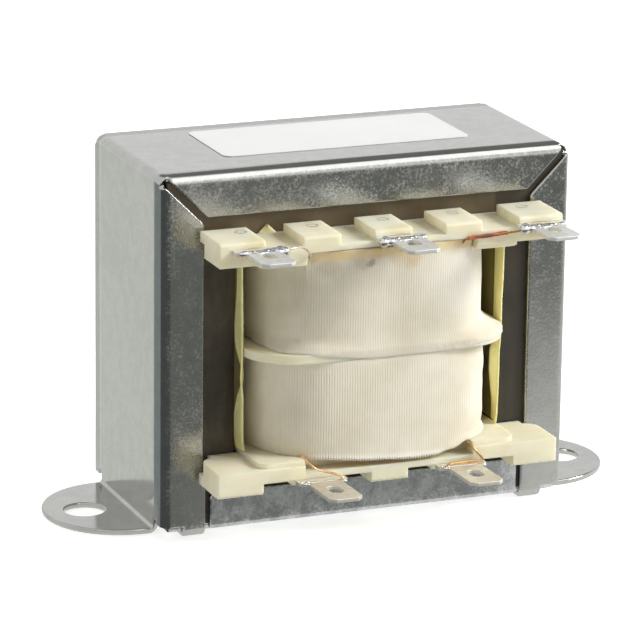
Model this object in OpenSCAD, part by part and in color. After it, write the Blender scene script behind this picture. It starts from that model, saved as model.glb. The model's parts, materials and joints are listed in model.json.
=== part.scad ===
// Chassis-mount mains transformer: laminated E-I core in a folded channel frame, two-section bobbin,
// taped windings and solder lugs. The origin is midway between the two mounting holes, on the
// underside of the feet. X runs along the feet, Y points to the back and Z points up.

/* [Core] */
// Width of the middle leg
tongue_w = 19.05; // [16:0.05:22]
// Width of each outer leg and of each yoke
leg_w = 9.525; // [8:0.025:11]
// Width of each winding window
window_w = 9.525; // [8.5:0.025:11]
// Height of both winding windows
window_h = 28.575; // [25:0.025:34]
// Thickness of one core plate
plate_t = 0.635; // [0.5:0.005:0.8]
// Varnish film between two plates
film_t = 0.015; // [0.005:0.005:0.03]
// Number of plates in the stack
plate_count = 41; // [34:1:48]
// Gap left at the butt joint of an E plate and an I plate
butt_gap = 0.03; // [0.01:0.01:0.1]

/* [Channel frame] */
// Thickness of the frame sheet
sheet_t = 0.8; // [0.6:0.05:1.2]
// Clearance between the core and each side wall
frame_gap = 0.2; // [0.05:0.05:0.5]
// Outside radius of the bends that wrap the core
bend_r = 1.3; // [0.9:0.1:1.8]
// Width of the side flanges, from the outer face of the wall
side_flange_w = 5.875; // [4.5:0.125:7.5]
// Height of the top flange, from the top face
top_flange_h = 5.7; // [4:0.1:7.5]
// Gap between the mitred ends of two flanges
mitre_gap = 1; // [0.4:0.1:1.6]
// Radius on the tips of the side flanges
tip_r = 1; // [0.4:0.1:1.4]
// Overall length over both feet
overall_l = 82.55; // [80:0.05:90]
// Width of a foot, which ends in a half round
foot_w = 21.2; // [16:0.1:23]
// Distance between the centres of the mounting holes
hole_pitch = 71.44; // [70:0.01:76]
// Diameter of the mounting holes
hole_d = 5.6; // [4:0.1:6.5]
// Inside radius of the bend from a wall into its foot
foot_bend_r = 0.5; // [0.3:0.1:1]
// Width of the relief notch beside each foot
relief_w = 1; // [0.6:0.1:1.4]
// Height of the relief notch above the cut edge of the wall
relief_h = 0.7; // [0.5:0.1:1.5]
// Width of the crimp tabs under the strap
tab_w = 3.1; // [2:0.1:3.6]
// Length of a crimp tab along the underside, from the front face
tab_l = 4.5; // [3:0.1:7]
// How much wider the side flange gets beside its tab
tab_step = 0.4; // [0.2:0.05:0.7]
// Height above the strap at which the wider part starts
tab_step_h = 4.9; // [4:0.1:6]

/* [Base strap] */
// Thickness of the strap sheet
strap_t = 0.8; // [0.6:0.05:1.2]
// Height of the strap flanges, from its underside
strap_flange_h = 5.2; // [3.5:0.1:6]
// Gap between the end of a strap flange and the frame flange beside it
strap_end_gap = 0.7; // [0.3:0.1:1.2]
// Gap between the end of the strap and the wall of the frame
strap_wall_gap = 0.25; // [0.1:0.05:0.5]

/* [Bobbin] */
// Clearance between the tube and the middle leg
tube_gap = 0.2; // [0.1:0.05:0.4]
// Wall of the tube
tube_wall = 1; // [0.7:0.05:1.4]
// Thickness of the flanges above and below the coils
flange_t = 0.7; // [0.5:0.05:1]
// Clearance between a flange and the yoke
flange_gap = 0.14; // [0.05:0.01:0.3]
// Clearance between the edges of the flanges and the outer legs
flange_side_gap = 0.4; // [0.35:0.05:0.8]
// How far the flanges reach past the face of the core
flange_reach = 8.7; // [7.5:0.1:10]
// Corner radius of the end flanges
flange_r = 1.5; // [0.5:0.1:3]
// Thickness of the partition between the two coils
partition_t = 1.2; // [0.8:0.1:1.8]
// Corner radius of the partition
partition_r = 7; // [3:0.1:9]
// Height of the partition above the middle of the window
partition_up = 0.45; // [-1:0.05:1]
// Length of a terminal board along X
board_l = 49.2; // [46:0.1:52]
// Thickness of a terminal board
board_t = 1.9; // [1.2:0.05:2.2]
// How far a terminal board reaches past the face of the core
board_reach = 9.1; // [8.5:0.1:10.5]
// Clearance between the face of the core and the back edge of a board
board_gap = 0.3; // [0.1:0.05:0.8]
// Clearance between the side flanges of the frame and the ends of a board
board_flange_gap = 0.8; // [0.4:0.05:1.2]
// Corner radius at the inner ends of a board
board_r = 2; // [0.8:0.1:3]
// Distance between the centres of two terminal positions
terminal_pitch = 10.16; // [9.6:0.01:10.6]
// Width of the blocks between the ends
block_w = 5.3; // [5:0.1:6.4]
// Width of the two end blocks
end_block_w = 6.4; // [5:0.1:7]
// Height of the upper blocks above their board
upper_block_h = 1.4; // [1.2:0.05:2.4]
// Height of the lower blocks below their board
lower_block_h = 1.5; // [1.2:0.05:2.4]
// Chamfer along the front edge of a block
block_chamfer = 0.3; // [0.1:0.05:0.6]
// Length of the recess in the edge of a flange, where the leads pass
recess_l = 24.4; // [23.6:0.1:27]
// Depth of that recess
recess_depth = 2.3; // [2:0.1:3]
// How far the recess is cut on into the board behind the flange
recess_rise = 1.05; // [0.5:0.05:1.2]
// Length of the bridge that holds a lug on the lower board
bridge_l = 3; // [2:0.1:4]

/* [Coils] */
// Space between the tape and the outer leg
coil_side_gap = 2.1; // [1.2:0.05:3]
// How far a coil reaches past the face of the core
coil_reach = 8.9; // [7.5:0.1:10]
// How much further the lower coil bulges to each side than the upper one
lower_bulge = 0.6; // [0:0.1:1]
// Roundness of the coil seen from above, from 2 for an oval to 6 for nearly square
coil_power = 4; // [3:0.1:6]
// How far a coil is drawn in at its edges
coil_waist = 0.3; // [0.1:0.05:0.8]
// Thickness of the cloth tape wrapping
tape_t = 0.5; // [0.3:0.05:0.9]
// Length over which the tape is drawn through the recess, up to the board
drape_l = 19.4; // [16:0.1:22]
// How far the tape stands out where it is drawn through
drape_out = 0.3; // [0:0.05:0.5]
// Clearance between the drawn edge and the board
drape_gap = 0.08; // [0.03:0.01:0.15]

/* [Insulation] */
// Thickness of the film that lines the window
liner_t = 0.25; // [0.15:0.05:0.3]
// How far the film stands out past the face of the core
liner_reach = 2.7; // [1:0.1:4]
// Clearance between the film and the flanges above and below it
liner_end_gap = 0.1; // [0.05:0.05:0.5]
// Width of the loose corner of film behind the upper board
film_tab_w = 2.6; // [1.5:0.1:4]
// Height of that corner above the board
film_tab_h = 1.2; // [0.6:0.1:2]
// Distance of that corner from the middle
film_tab_x = 14.6; // [14:0.1:16]

/* [Solder lugs] */
// Thickness of a lug
lug_t = 0.5; // [0.3:0.05:0.8]
// Width of the blade
lug_w = 4.7; // [3.5:0.05:5]
// Length of an upper lug past the edge of the board
upper_lug_l = 8.6; // [7.6:0.1:11]
// Length of a lower lug past the edge of the board
lower_lug_l = 9.9; // [7.6:0.1:11]
// Distance of the upper lugs from the middles of their blocks
upper_lug_shift = 0.9; // [0:0.05:0.9]
// Width of the shoulders at the root
lug_root_w = 7; // [6:0.1:7.6]
// Length of the shoulders
lug_root_l = 1.5; // [1:0.1:2.2]
// Width of the tail on the board
lug_tail_w = 2.8; // [2:0.1:2.8]
// Length of the tail on the board
lug_tail_l = 5.5; // [4:0.1:6.5]
// Width of the slot in the blade
lug_slot_w = 1.9; // [1.2:0.1:2.4]
// Length of the slot in the blade
lug_slot_l = 3.2; // [2:0.1:3.6]
// Distance of the slot centre from the tip of the lug
lug_slot_at = 4.4; // [3:0.1:4.4]
// Corner cut at the end of the blade
lug_chamfer = 0.8; // [0.3:0.1:1.4]
// Angle by which the upper lugs are bent up
upper_lift = 1; // [0:0.5:8]
// Angle by which the lower lugs are bent up
lower_lift = 1.5; // [0:0.5:4]
// Radius of a solder bead
bead_r = 0.95; // [0.8:0.05:1.1]

/* [Leads] */
// Diameter of the bare leads
lead_d = 0.3; // [0.2:0.05:0.6]
// Clearance between an outer lead and the end of the recess that it passes
lead_end_gap = 0.45; // [0.2:0.05:0.6]
// Diameter of the sleeve on the upper right lead
sleeve_d = 0.6; // [0.5:0.05:1.3]

/* [Label] */
// Length of the label
label_l = 36; // [20:0.5:44]
// Width of the label
label_w = 15; // [8:0.5:20]
// Thickness of the label
label_t = 0.1; // [0.05:0.05:0.2]
// Corner radius of the label
label_r = 1.2; // [0.4:0.1:2]
// Place of the label's centre along X
label_x = 0.5; // [-3:0.5:3]
// Place of the label's centre along Y
label_y = 2.2; // [-2:0.1:3]

/* [Hidden] */
$fn = 48;
eps = 0.01;

// Core
plate_pitch = plate_t + film_t;
stack_d = plate_count * plate_pitch - film_t;
core_face = stack_d / 2;
window_x = tongue_w / 2 + window_w;
core_hw = window_x + leg_w;
core_z = sheet_t + strap_t;
window_z = core_z + leg_w;
mid_z = window_z + window_h / 2;
core_top = window_z + window_h + leg_w;

// Frame
wall_in = core_hw + frame_gap;
frame_hw = wall_in + sheet_t;
frame_hd = core_face + sheet_t;
frame_h = core_top + sheet_t;
flange_x = frame_hw - side_flange_w;
tab_x = flange_x - tab_step;
foot_r = foot_w / 2;
foot_cx = overall_l / 2 - foot_r;
foot_bend_x = frame_hw + foot_bend_r;
foot_bend_z = sheet_t + foot_bend_r;

// Bobbin, with heights measured from the middle of the window
tube_hx = tongue_w / 2 + tube_gap;
tube_hy = core_face + tube_gap;
former_hx = tube_hx + tube_wall;
former_hy = tube_hy + tube_wall;
flange_out = window_h / 2 - flange_gap;
flange_in = flange_out - flange_t;
flange_hx = window_x - flange_side_gap;
flange_y = core_face + flange_reach;
board_out = flange_out + board_t;
board_y = core_face + board_reach;
board_back = frame_hd + board_flange_gap;
board_mid_hx = flange_x - board_flange_gap;
lug_gap = 0.05;
lug_tail_end = board_y - lug_tail_l;

// Coils
coil_b = core_face + coil_reach;
coil_steps = 64;
coil_levels = 6;
recess_top = flange_out + recess_rise;

// Each coil as [height of its edge at the partition, half width], drawn as if it were the upper one
upper_coil = [partition_t / 2 + partition_up, window_x - coil_side_gap];
lower_coil = [partition_t / 2 - partition_up, window_x - coil_side_gap + lower_bulge];

// Lugs, as [x, side]: side 1 is the upper board and -1 the lower one
upper_lugs = [for (i = [-2, 0, 2]) [i * terminal_pitch + upper_lug_shift, 1]];
lower_lugs = [for (i = [-1, 1]) [i * terminal_pitch, -1]];
bead_x = lug_w / 2 + 0.55;
bead_y = lug_root_l + 0.45;
bead_z = lug_t / 2;

// How far the coil's front stands past the board edge at x, near an end flange. A lead's width
// beside the drawn tape counts with it.
function coil_edge(coil, x) = abs(x) <= drape_l / 2 + lead_d ? coil_b + drape_out - board_y
    : (coil_b - coil_waist / 2) * pow(1 - pow(abs(x) / (coil[1] - coil_waist / 2), coil_power),
        1 / coil_power) - board_y;
function lug_coil(lug) = lug[1] > 0 ? upper_coil : lower_coil;

// Start of the lead of a lug, just off the coil at x, with z counted from the board's outer face
function lead_start(lug, x, z) = [x - lug[0], coil_edge(lug_coil(lug), x) + lead_d / 2, z];

// What a lead at x has behind it: the coil, or past the end of the recess the flange too
function behind(coil, x) = abs(x) + lead_d / 2 + lug_gap > recess_l / 2
    ? max(coil_edge(coil, x), flange_y - board_y) : coil_edge(coil, x);

// Points that a lead passes near the coil: x is given from the place at, and y is at least clear
// of what is behind
function past_coil(lug, at, points) = [for (p = points) let (x = at + p[0])
    [x - lug[0], max(p[1], behind(lug_coil(lug), x) + lead_d / 2 + lug_gap), p[2]]];

// Routes of the leads. Each point is [x, y past the board edge, z from the board's outer face],
// and x is measured from the lug that the lead is soldered to, or near the coil from its start.
lead_x = recess_l / 2 - lead_end_gap - lead_d / 2;
tape_x = drape_l / 2 + lead_end_gap + lead_d / 2;
lead_on_lug = -lead_d / 2 - lug_gap;
upper_left_route = concat([lead_start(upper_lugs[0], -lead_x, -2.75)],
    past_coil(upper_lugs[0], -lead_x,
        [[-0.02, -0.8, -2.4], [-0.12, 0.2, -1.9], [-0.32, 0.45, -1.15]]),
    [[6.8, 0.7, -0.25], [5.8, 1.1, 0.4], [4.3, 1.9, 0.6]], [[bead_x, bead_y, bead_z]]);
upper_middle_route = concat([lead_start(upper_lugs[1], -1.5, -3.1)],
    past_coil(upper_lugs[1], -1.5,
        [[-0.1, 0.6, -2.5], [-0.4, 0.65, -1.7], [-0.9, 0.75, -1]]),
    [[-3.9, 1.3, -0.5]], [[-bead_x, bead_y, bead_z]]);
upper_right_route = concat([lead_start(upper_lugs[2], tape_x, -2.9)],
    past_coil(upper_lugs[2], tape_x, [[0.1, -0.9, -2.3], [0.12, -0.5, -1.7], [0.14, 0.1, -1.15]]),
    [[-10.7, 0.42, -0.75], [-9.7, 0.42, -0.61], [-8, 0.42, -0.6], [-5.5, 0.42, -0.43],
    [-4.95, 0.42, -0.45], [-4.6, 0.85, -0.3], [-4.2, 1.55, -0.05]], [[-bead_x, bead_y, bead_z]]);
lower_left_route = concat([lead_start(lower_lugs[0], -recess_l / 2, -2.85)],
    past_coil(lower_lugs[0], -lead_x,
        [[-0.16, -0.7, -2.4], [0.14, 0.15, -1.95], [0.84, 0.5, -1.4]]),
    [[0.7, 0.8, -1], [2.3, 1.5, -0.55]], [[bead_x, bead_y, bead_z]]);
lower_right_route = concat([lead_start(lower_lugs[1], lead_x + lug_gap, -2.6)],
    past_coil(lower_lugs[1], lead_x,
        [[0.16, -0.9, -2.3], [0.46, 0.2, -1.95], [1.16, 0.55, -1.05]]),
    [[3.2, 0.6, -0.3], [2.6, 0.6, lead_on_lug], [0.8, 0.6, lead_on_lug], [-1.2, 0.8, lead_on_lug],
    [-1.9, 1.05, lead_on_lug]], [[-bead_x, bead_y, lead_on_lug]]);
sleeve_first = 4;
sleeve_last = 8;
wire_sides = 8;

// Extrudes a shape drawn in X and Z from y0 to y1
module along_y(y0, y1) {
    translate([0, y1, 0]) rotate([90, 0, 0]) linear_extrude(y1 - y0) children();
}

// Extrudes a shape drawn in Y and Z from x0 to x1
module along_x(x0, x1) {
    translate([x0, 0, 0]) rotate([90, 0, 90]) linear_extrude(x1 - x0) children();
}

// Rectangle with round corners between two corner points
module round_rect(lo, hi, r) {
    translate([lo[0] + r, lo[1]]) square([hi[0] - lo[0] - 2 * r, hi[1] - lo[1]]);
    translate([lo[0], lo[1] + r]) square([hi[0] - lo[0], hi[1] - lo[1] - 2 * r]);
    for (x = [lo[0] + r, hi[0] - r], y = [lo[1] + r, hi[1] - r]) translate([x, y]) circle(r);
}

// The waste outside a round corner: p is the sharp corner, u and v point along its two edges
module corner_waste(p, u, v, r) {
    half = acos(u * v) / 2;
    reach = r / tan(half);
    middle = (u + v) / norm(u + v) * r / sin(half);
    difference() {
        polygon([p, p + u * reach, p + v * reach]);
        translate(p + middle) circle(r);
    }
}

// The front and back halves of what is mirrored about the middle plane
module both_faces() {
    children();
    mirror([0, 1, 0]) children();
}

module both_ends() {
    children();
    mirror([1, 0, 0]) children();
}

// Outside of the folded frame, down to the floor
module frame_block() {
    intersection() {
        along_y(-frame_hd, frame_hd)
            round_rect([-frame_hw, -2 * bend_r], [frame_hw, frame_h], bend_r);
        along_x(-frame_hw, frame_hw)
            round_rect([-frame_hd, -2 * bend_r], [frame_hd, frame_h], bend_r);
        translate([0, 0, core_z]) linear_extrude(frame_h)
            round_rect([-frame_hw, -frame_hd], [frame_hw, frame_hd], bend_r);
    }
}

// Opening between the flanges, seen from the front
module face_opening() {
    step_z = core_z + tab_step_h;
    flange_z = frame_h - top_flange_h;
    polygon([[-tab_x, 0], [tab_x, 0], [tab_x, step_z], [flange_x, step_z + tab_step],
        [flange_x, flange_z], [-flange_x, flange_z], [-flange_x, step_z + tab_step],
        [-tab_x, step_z]]);
    tip = [flange_x, frame_h - side_flange_w - mitre_gap / sqrt(2)];
    for (s = [-1, 1])
        corner_waste([s * tip[0], tip[1]], [0, -1], [s, 1] / sqrt(2), tip_r);
}

// Mitre slot from the opening out to the corner, seen from the front
module mitre_slot() {
    run = (max(side_flange_w, top_flange_h) + mitre_gap) * sqrt(2);
    translate([frame_hw, frame_h]) {
        rotate(-135) translate([0, -mitre_gap / 2]) square([run, mitre_gap]);
        translate([-bend_r, -bend_r]) square(2 * bend_r);
    }
}

// Wall end, bend and plate of one foot, at the +X end
module foot() {
    along_y(-foot_r, foot_r) {
        translate([wall_in, foot_bend_z]) square([sheet_t, core_z - foot_bend_z + eps]);
        translate([foot_bend_x, foot_bend_z]) intersection() {
            difference() {
                circle(foot_bend_r + sheet_t);
                circle(foot_bend_r);
            }
            translate([-2 * sheet_t - foot_bend_r, -2 * sheet_t - foot_bend_r])
                square(2 * sheet_t + foot_bend_r);
        }
    }
    linear_extrude(sheet_t) difference() {
        intersection() {
            union() {
                translate([foot_cx, 0]) circle(foot_r, $fn = 96);
                translate([foot_bend_x, -foot_r])
                    square([max(foot_cx - foot_bend_x, eps), foot_w]);
            }
            translate([foot_bend_x, -foot_r]) square([overall_l, foot_w]);
        }
        translate([hole_pitch / 2, 0]) circle(hole_d / 2);
    }
}

// Crimp tab folded under the strap at the front, at the +X end
module tab() {
    along_x(tab_x, tab_x + tab_w) difference() {
        union() {
            translate([-frame_hd, 0]) square([tab_l, sheet_t]);
            translate([-frame_hd, 0]) square([sheet_t, core_z + eps]);
        }
        corner_waste([-frame_hd, 0], [1, 0], [0, 1], bend_r);
    }
}

module channel_frame() {
    color([0.62, 0.62, 0.6]) {
        difference() {
            frame_block();
            translate([-wall_in, -core_face, -eps])
                cube([2 * wall_in, stack_d, core_top + eps]);
            along_y(-frame_hd - 1, frame_hd + 1) face_opening();
            both_faces() both_ends() along_y(-frame_hd - 1, -frame_hd + bend_r) mitre_slot();
            for (s = [-1, 1]) translate([0, s * (foot_r + relief_w / 2), 0])
                relief_notch();
        }
        both_ends() foot();
        both_faces() both_ends() tab();
    }
}

// Round-topped notch through both walls
module relief_notch() {
    notch_z = core_z + relief_h - relief_w / 2;
    translate([-frame_hw - 1, -relief_w / 2, 0]) cube([2 * frame_hw + 2, relief_w, notch_z]);
    translate([-frame_hw - 1, 0, notch_z]) rotate([0, 90, 0])
        cylinder(h = 2 * frame_hw + 2, r = relief_w / 2);
}

// Channel that closes the frame under the core
module base_strap() {
    strap_hw = wall_in - strap_wall_gap;
    flange_hw = tab_x - strap_end_gap;
    color([0.66, 0.67, 0.67]) {
        translate([-strap_hw, -core_face, sheet_t]) cube([2 * strap_hw, stack_d, strap_t]);
        both_faces() intersection() {
            along_x(-flange_hw, flange_hw) difference() {
                translate([-frame_hd, sheet_t]) square([frame_hd - core_face, strap_flange_h]);
                corner_waste([-frame_hd, sheet_t], [1, 0], [0, 1], sheet_t);
            }
            along_y(-frame_hd - 1, -core_face)
                round_rect([-flange_hw, -strap_flange_h], [flange_hw, sheet_t + strap_flange_h], tip_r);
        }
    }
}

// One E plate with its yoke at the bottom, drawn from z = 0
module e_plate() {
    along_y(0, plate_t) difference() {
        translate([-core_hw, 0]) square([2 * core_hw, leg_w + window_h]);
        for (s = [-1, 1]) translate([s * (tongue_w + window_w) / 2 - window_w / 2, leg_w])
            square([window_w, window_h + 1]);
    }
}

// E plates, laid in turn with the yoke at the bottom and at the top
module e_laminations() {
    color([0.3, 0.25, 0.2])
    for (i = [0 : plate_count - 1]) translate([0, i * plate_pitch - core_face, 0])
        if (i % 2 == 0) translate([0, 0, core_z]) e_plate();
        else translate([0, 0, core_top]) mirror([0, 0, 1]) e_plate();
}

// I plates, which close the open end of each E plate
module i_laminations() {
    color([0.34, 0.29, 0.23])
    for (i = [0 : plate_count - 1])
        translate([-core_hw, i * plate_pitch - core_face,
            i % 2 == 0 ? core_top - leg_w + butt_gap : core_z])
            cube([2 * core_hw, plate_t, leg_w - butt_gap]);
}

// Plan of an end flange, with the recess for the tape and the leads on each face
module flange_plan() {
    difference() {
        round_rect([-flange_hx, -flange_y], [flange_hx, flange_y], flange_r);
        for (s = [-1, 1]) translate([0, s * flange_y])
            square([recess_l, 2 * recess_depth], center = true);
    }
}

// Plan of a terminal board on the front face
module board_plan() {
    difference() {
        union() {
            translate([-board_l / 2, -board_y]) square([board_l, board_y - board_back]);
            translate([-board_mid_hx, -board_y])
                square([2 * board_mid_hx, board_y - core_face - board_gap]);
        }
        for (s = [-1, 1])
            corner_waste([s * board_l / 2, -board_back], [-s, 0], [0, -1], board_r);
    }
}

// One block of height h from x0 to x1 on the outer face of a board
module block(x0, x1, h) {
    block_top = board_out + h;
    along_x(x0, x1) polygon([[-board_back, board_out - eps], [-board_back, block_top],
        [-board_y + block_chamfer, block_top], [-board_y, block_top - block_chamfer],
        [-board_y, board_out - eps]]);
}

// Passage for the tail of a lug at x
module tail_passage(x) {
    translate([x - lug_tail_w / 2 - lug_gap, -board_y - 1, board_out])
        cube([lug_tail_w + 2 * lug_gap, board_y - lug_tail_end + 1 + lug_gap, lug_t + lug_gap]);
}

// The two end blocks and the middle one, of height h
module shared_blocks(h) {
    block(-board_l / 2, end_block_w - board_l / 2, h);
    block(board_l / 2 - end_block_w, board_l / 2, h);
    block(-block_w / 2, block_w / 2, h);
}

// Board with the recess of the flange cut on into its inner face
module board() {
    difference() {
        translate([0, 0, flange_out]) linear_extrude(board_t) board_plan();
        translate([-recess_l / 2, -board_y - 1, flange_out - eps])
            cube([recess_l, board_y - flange_y + recess_depth + 1, recess_rise + eps]);
    }
}

// Upper board with five blocks, three of which hold lugs
module upper_board(lugs) {
    difference() {
        union() {
            board();
            shared_blocks(upper_block_h);
            for (x = [-terminal_pitch, terminal_pitch])
                block(x - block_w / 2, x + block_w / 2, upper_block_h);
        }
        for (lug = lugs) tail_passage(lug[0]);
    }
}

// Lower board with three blocks, and a low bridge over each lug tail
module lower_board(lugs) {
    bridge_y = (board_y + lug_tail_end) / 2;
    difference() {
        union() {
            board();
            shared_blocks(lower_block_h);
            for (lug = lugs)
                translate([lug[0] - lug_root_w / 2, -bridge_y - bridge_l / 2, board_out - eps])
                    cube([lug_root_w, bridge_l, 2 * lug_t + lug_gap]);
        }
        for (lug = lugs) tail_passage(lug[0]);
    }
}

module bobbin() {
    color([0.93, 0.9, 0.78]) translate([0, 0, mid_z]) {
        difference() {
            translate([-former_hx, -former_hy, -flange_out])
                cube([2 * former_hx, 2 * former_hy, 2 * flange_out]);
            tube_bore();
        }
        difference() {
            union() {
                translate([0, 0, flange_in]) linear_extrude(flange_t) flange_plan();
                translate([0, 0, -flange_out]) linear_extrude(flange_t) flange_plan();
                translate([0, 0, partition_up - partition_t / 2]) linear_extrude(partition_t)
                    round_rect([-flange_hx, -flange_y], [flange_hx, flange_y], partition_r);
            }
            tube_bore();
        }
        upper_board(upper_lugs);
        mirror([0, 1, 0]) upper_board([]);
        mirror([0, 0, 1]) lower_board(lower_lugs);
        mirror([0, 0, 1]) mirror([0, 1, 0]) lower_board([]);
    }
}

module tube_bore() {
    translate([-tube_hx, -tube_hy, -window_h])
        cube([2 * tube_hx, 2 * tube_hy, 2 * window_h]);
}

// Outline of a coil at one angle, drawn in by d
function coil_point(coil, angle, d) = let (c = cos(angle), s = sin(angle), e = 2 / coil_power)
    [sign(c) * pow(abs(c), e) * (coil[1] - d), sign(s) * pow(abs(s), e) * (coil_b - d)];

// Amount by which the coil is drawn in at fraction f of its height
function coil_draw(f) = coil_waist * pow(abs(2 * f - 1), 4);

// Where the ray to point p of the outline leaves the tube. Where the next ray leaves it through
// another side, the corner between the two takes its place.
function on_tube(p) = p * min(former_hx / max(abs(p[0]), eps), former_hy / max(abs(p[1]), eps));
function on_side(p) = abs(p[0]) * former_hy > abs(p[1]) * former_hx;
function tube_point(p, next) = on_side(p) == on_side(next) ? on_tube(p)
    : [sign(p[0] + next[0]) * former_hx, sign(p[1] + next[1]) * former_hy];

// Closed ring between an outer and an inner set of points, level by level
module ring(outer, inner) {
    n = coil_steps;
    lo = len(outer);
    li = len(inner);
    points = concat([for (level = outer) each level], [for (level = inner) each level]);
    start = lo * n;
    faces = concat(
        [for (j = [0 : lo - 2], i = [0 : n - 1]) let (k = (i + 1) % n) each
            [[j * n + i, (j + 1) * n + i, j * n + k], [j * n + k, (j + 1) * n + i, (j + 1) * n + k]]],
        [for (j = [0 : li - 2], i = [0 : n - 1]) let (k = (i + 1) % n, b = start) each
            [[b + j * n + i, b + j * n + k, b + (j + 1) * n + i],
             [b + j * n + k, b + (j + 1) * n + k, b + (j + 1) * n + i]]],
        [for (i = [0 : n - 1]) let (k = (i + 1) % n) each
            [[i, k, start + i], [k, start + k, start + i]]],
        [for (i = [0 : n - 1]) let (k = (i + 1) % n, a = (lo - 1) * n, b = start + (li - 1) * n) each
            [[a + i, b + i, a + k], [a + k, b + i, b + k]]]);
    polyhedron(points, faces);
}

// One level of points: the coil outline drawn in by d, at height z
function coil_level(coil, d, z) = [for (i = [0 : coil_steps - 1])
    let (p = coil_point(coil, i * 360 / coil_steps, d)) [p[0], p[1], z]];

function tube_level(coil, z) = [for (i = [0 : coil_steps - 1]) let (a = i * 360 / coil_steps,
    p = tube_point(coil_point(coil, a, 0), coil_point(coil, a + 360 / coil_steps, 0)))
    [p[0], p[1], z]];

// Height of fraction f of a coil, from the middle of the window
function coil_z(coil, f) = coil[0] + (flange_in - coil[0]) * f;

// Wire of a coil, between the tube and the tape
module winding(coil) {
    ring([for (j = [0 : coil_levels]) let (f = j / coil_levels)
            coil_level(coil, coil_draw(f) + tape_t, coil_z(coil, f))],
        [tube_level(coil, coil[0]), tube_level(coil, flange_in)]);
}

// One level of tape, at fraction f of the height and depth d in the tape. The last level is
// drawn out and on through the recess, up to the board.
function tape_level(coil, f, d) = [for (i = [0 : coil_steps - 1])
    let (a = i * 360 / coil_steps, drawn = f == 1 && abs(coil_point(coil, a, 0)[0]) <= drape_l / 2,
        p = coil_point(coil, a, drawn ? d - drape_out : d + coil_draw(f)))
    [p[0], p[1], drawn ? recess_top - drape_gap : coil_z(coil, f)]];

// Cloth tape around a coil
module tape(coil) {
    ring([for (j = [0 : coil_levels]) tape_level(coil, j / coil_levels, 0)],
        [for (j = [0 : coil_levels]) tape_level(coil, j / coil_levels, tape_t)]);
}

module lower_winding() {
    color([0.72, 0.4, 0.2]) translate([0, 0, mid_z]) mirror([0, 0, 1]) winding(lower_coil);
}

module upper_winding() {
    color([0.75, 0.43, 0.22]) translate([0, 0, mid_z]) winding(upper_coil);
}

module lower_tape() {
    color([0.9, 0.86, 0.76]) translate([0, 0, mid_z]) mirror([0, 0, 1]) tape(lower_coil);
}

module upper_tape() {
    color([0.9, 0.87, 0.78]) translate([0, 0, mid_z]) tape(upper_coil);
}

// Film between a coil and an outer leg
module window_liner() {
    half_h = flange_in - liner_end_gap;
    translate([window_x - liner_t, -core_face - liner_reach, mid_z - half_h])
        cube([liner_t, stack_d + 2 * liner_reach, 2 * half_h]);
}

module window_liner_left() {
    color([0.85, 0.8, 0.42]) mirror([1, 0, 0]) window_liner();
}

module window_liner_right() {
    color([0.85, 0.8, 0.42]) window_liner();
}

// Loose corner of film that stands up against the core behind the upper board
module film_corner() {
    base_z = mid_z + flange_out;
    top_z = mid_z + board_out + film_tab_h;
    color([0.86, 0.8, 0.5]) along_y(-core_face - liner_t, -core_face)
        polygon([[-film_tab_x - film_tab_w / 2, base_z], [-film_tab_x + film_tab_w / 2, base_z],
            [-film_tab_x + film_tab_w / 2, base_z + board_t], [-film_tab_x, top_z],
            [-film_tab_x - film_tab_w / 2, base_z + board_t]]);
}

// Tail and shoulders of a lug, with y = 0 at the edge of the board
module lug_root_plan() {
    translate([-lug_tail_w / 2, -lug_root_l]) square([lug_tail_w, lug_root_l + lug_tail_l]);
    difference() {
        translate([-lug_root_w / 2, -lug_root_l]) square([lug_root_w, lug_root_l - lug_gap]);
        for (s = [-1, 1])
            corner_waste([s * lug_root_w / 2, -lug_root_l], [-s, 0], [0, 1], lug_root_l / 3);
    }
}

// Blade of a lug that is l long past the board, with y = 0 at the end of the shoulders
module lug_blade_plan(l) {
    blade_l = l - lug_root_l;
    slot_y = lug_slot_at - blade_l;
    slot_half = (lug_slot_l - lug_slot_w) / 2;
    difference() {
        polygon([[-lug_w / 2, lug_t / 2], [lug_w / 2, lug_t / 2], [lug_w / 2, lug_chamfer - blade_l],
            [lug_w / 2 - lug_chamfer, -blade_l], [lug_chamfer - lug_w / 2, -blade_l],
            [-lug_w / 2, lug_chamfer - blade_l]]);
        translate([-lug_slot_w / 2, slot_y - slot_half]) square([lug_slot_w, 2 * slot_half]);
        for (s = [-1, 1]) translate([0, slot_y + s * slot_half]) circle(lug_slot_w / 2);
    }
}

module lug(l, lift) {
    linear_extrude(lug_t) lug_root_plan();
    translate([0, -lug_root_l, 0]) rotate([-lift, 0, 0]) linear_extrude(lug_t) lug_blade_plan(l);
}

// Puts a part drawn at the board edge in its place: at is [x, side]
module at_lug(at) {
    translate([at[0], -board_y, mid_z]) mirror([0, 0, at[1] > 0 ? 0 : 1])
        translate([0, 0, board_out]) children();
}

module placed_lug(at) {
    color([0.7, 0.7, 0.69]) at_lug(at)
        if (at[1] > 0) lug(upper_lug_l, upper_lift);
        else lug(lower_lug_l, -lower_lift);
}

module upper_lug_left() { placed_lug(upper_lugs[0]); }
module upper_lug_middle() { placed_lug(upper_lugs[1]); }
module upper_lug_right() { placed_lug(upper_lugs[2]); }
module lower_lug_left() { placed_lug(lower_lugs[0]); }
module lower_lug_right() { placed_lug(lower_lugs[1]); }

// Two beads, in the corners between the shoulders and the blade, around the end of the lead
module solder(at, route, wire_side) {
    color([0.78, 0.78, 0.8]) difference() {
        at_lug(at) for (s = [-1, 1])
            translate([s * bead_x, -bead_y, bead_z])
                sphere(s == wire_side ? bead_r : 0.8 * bead_r, $fn = 12);
        placed_lug(at);
        at_lug(at) wire_hole(lug_route(route));
    }
}

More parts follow.
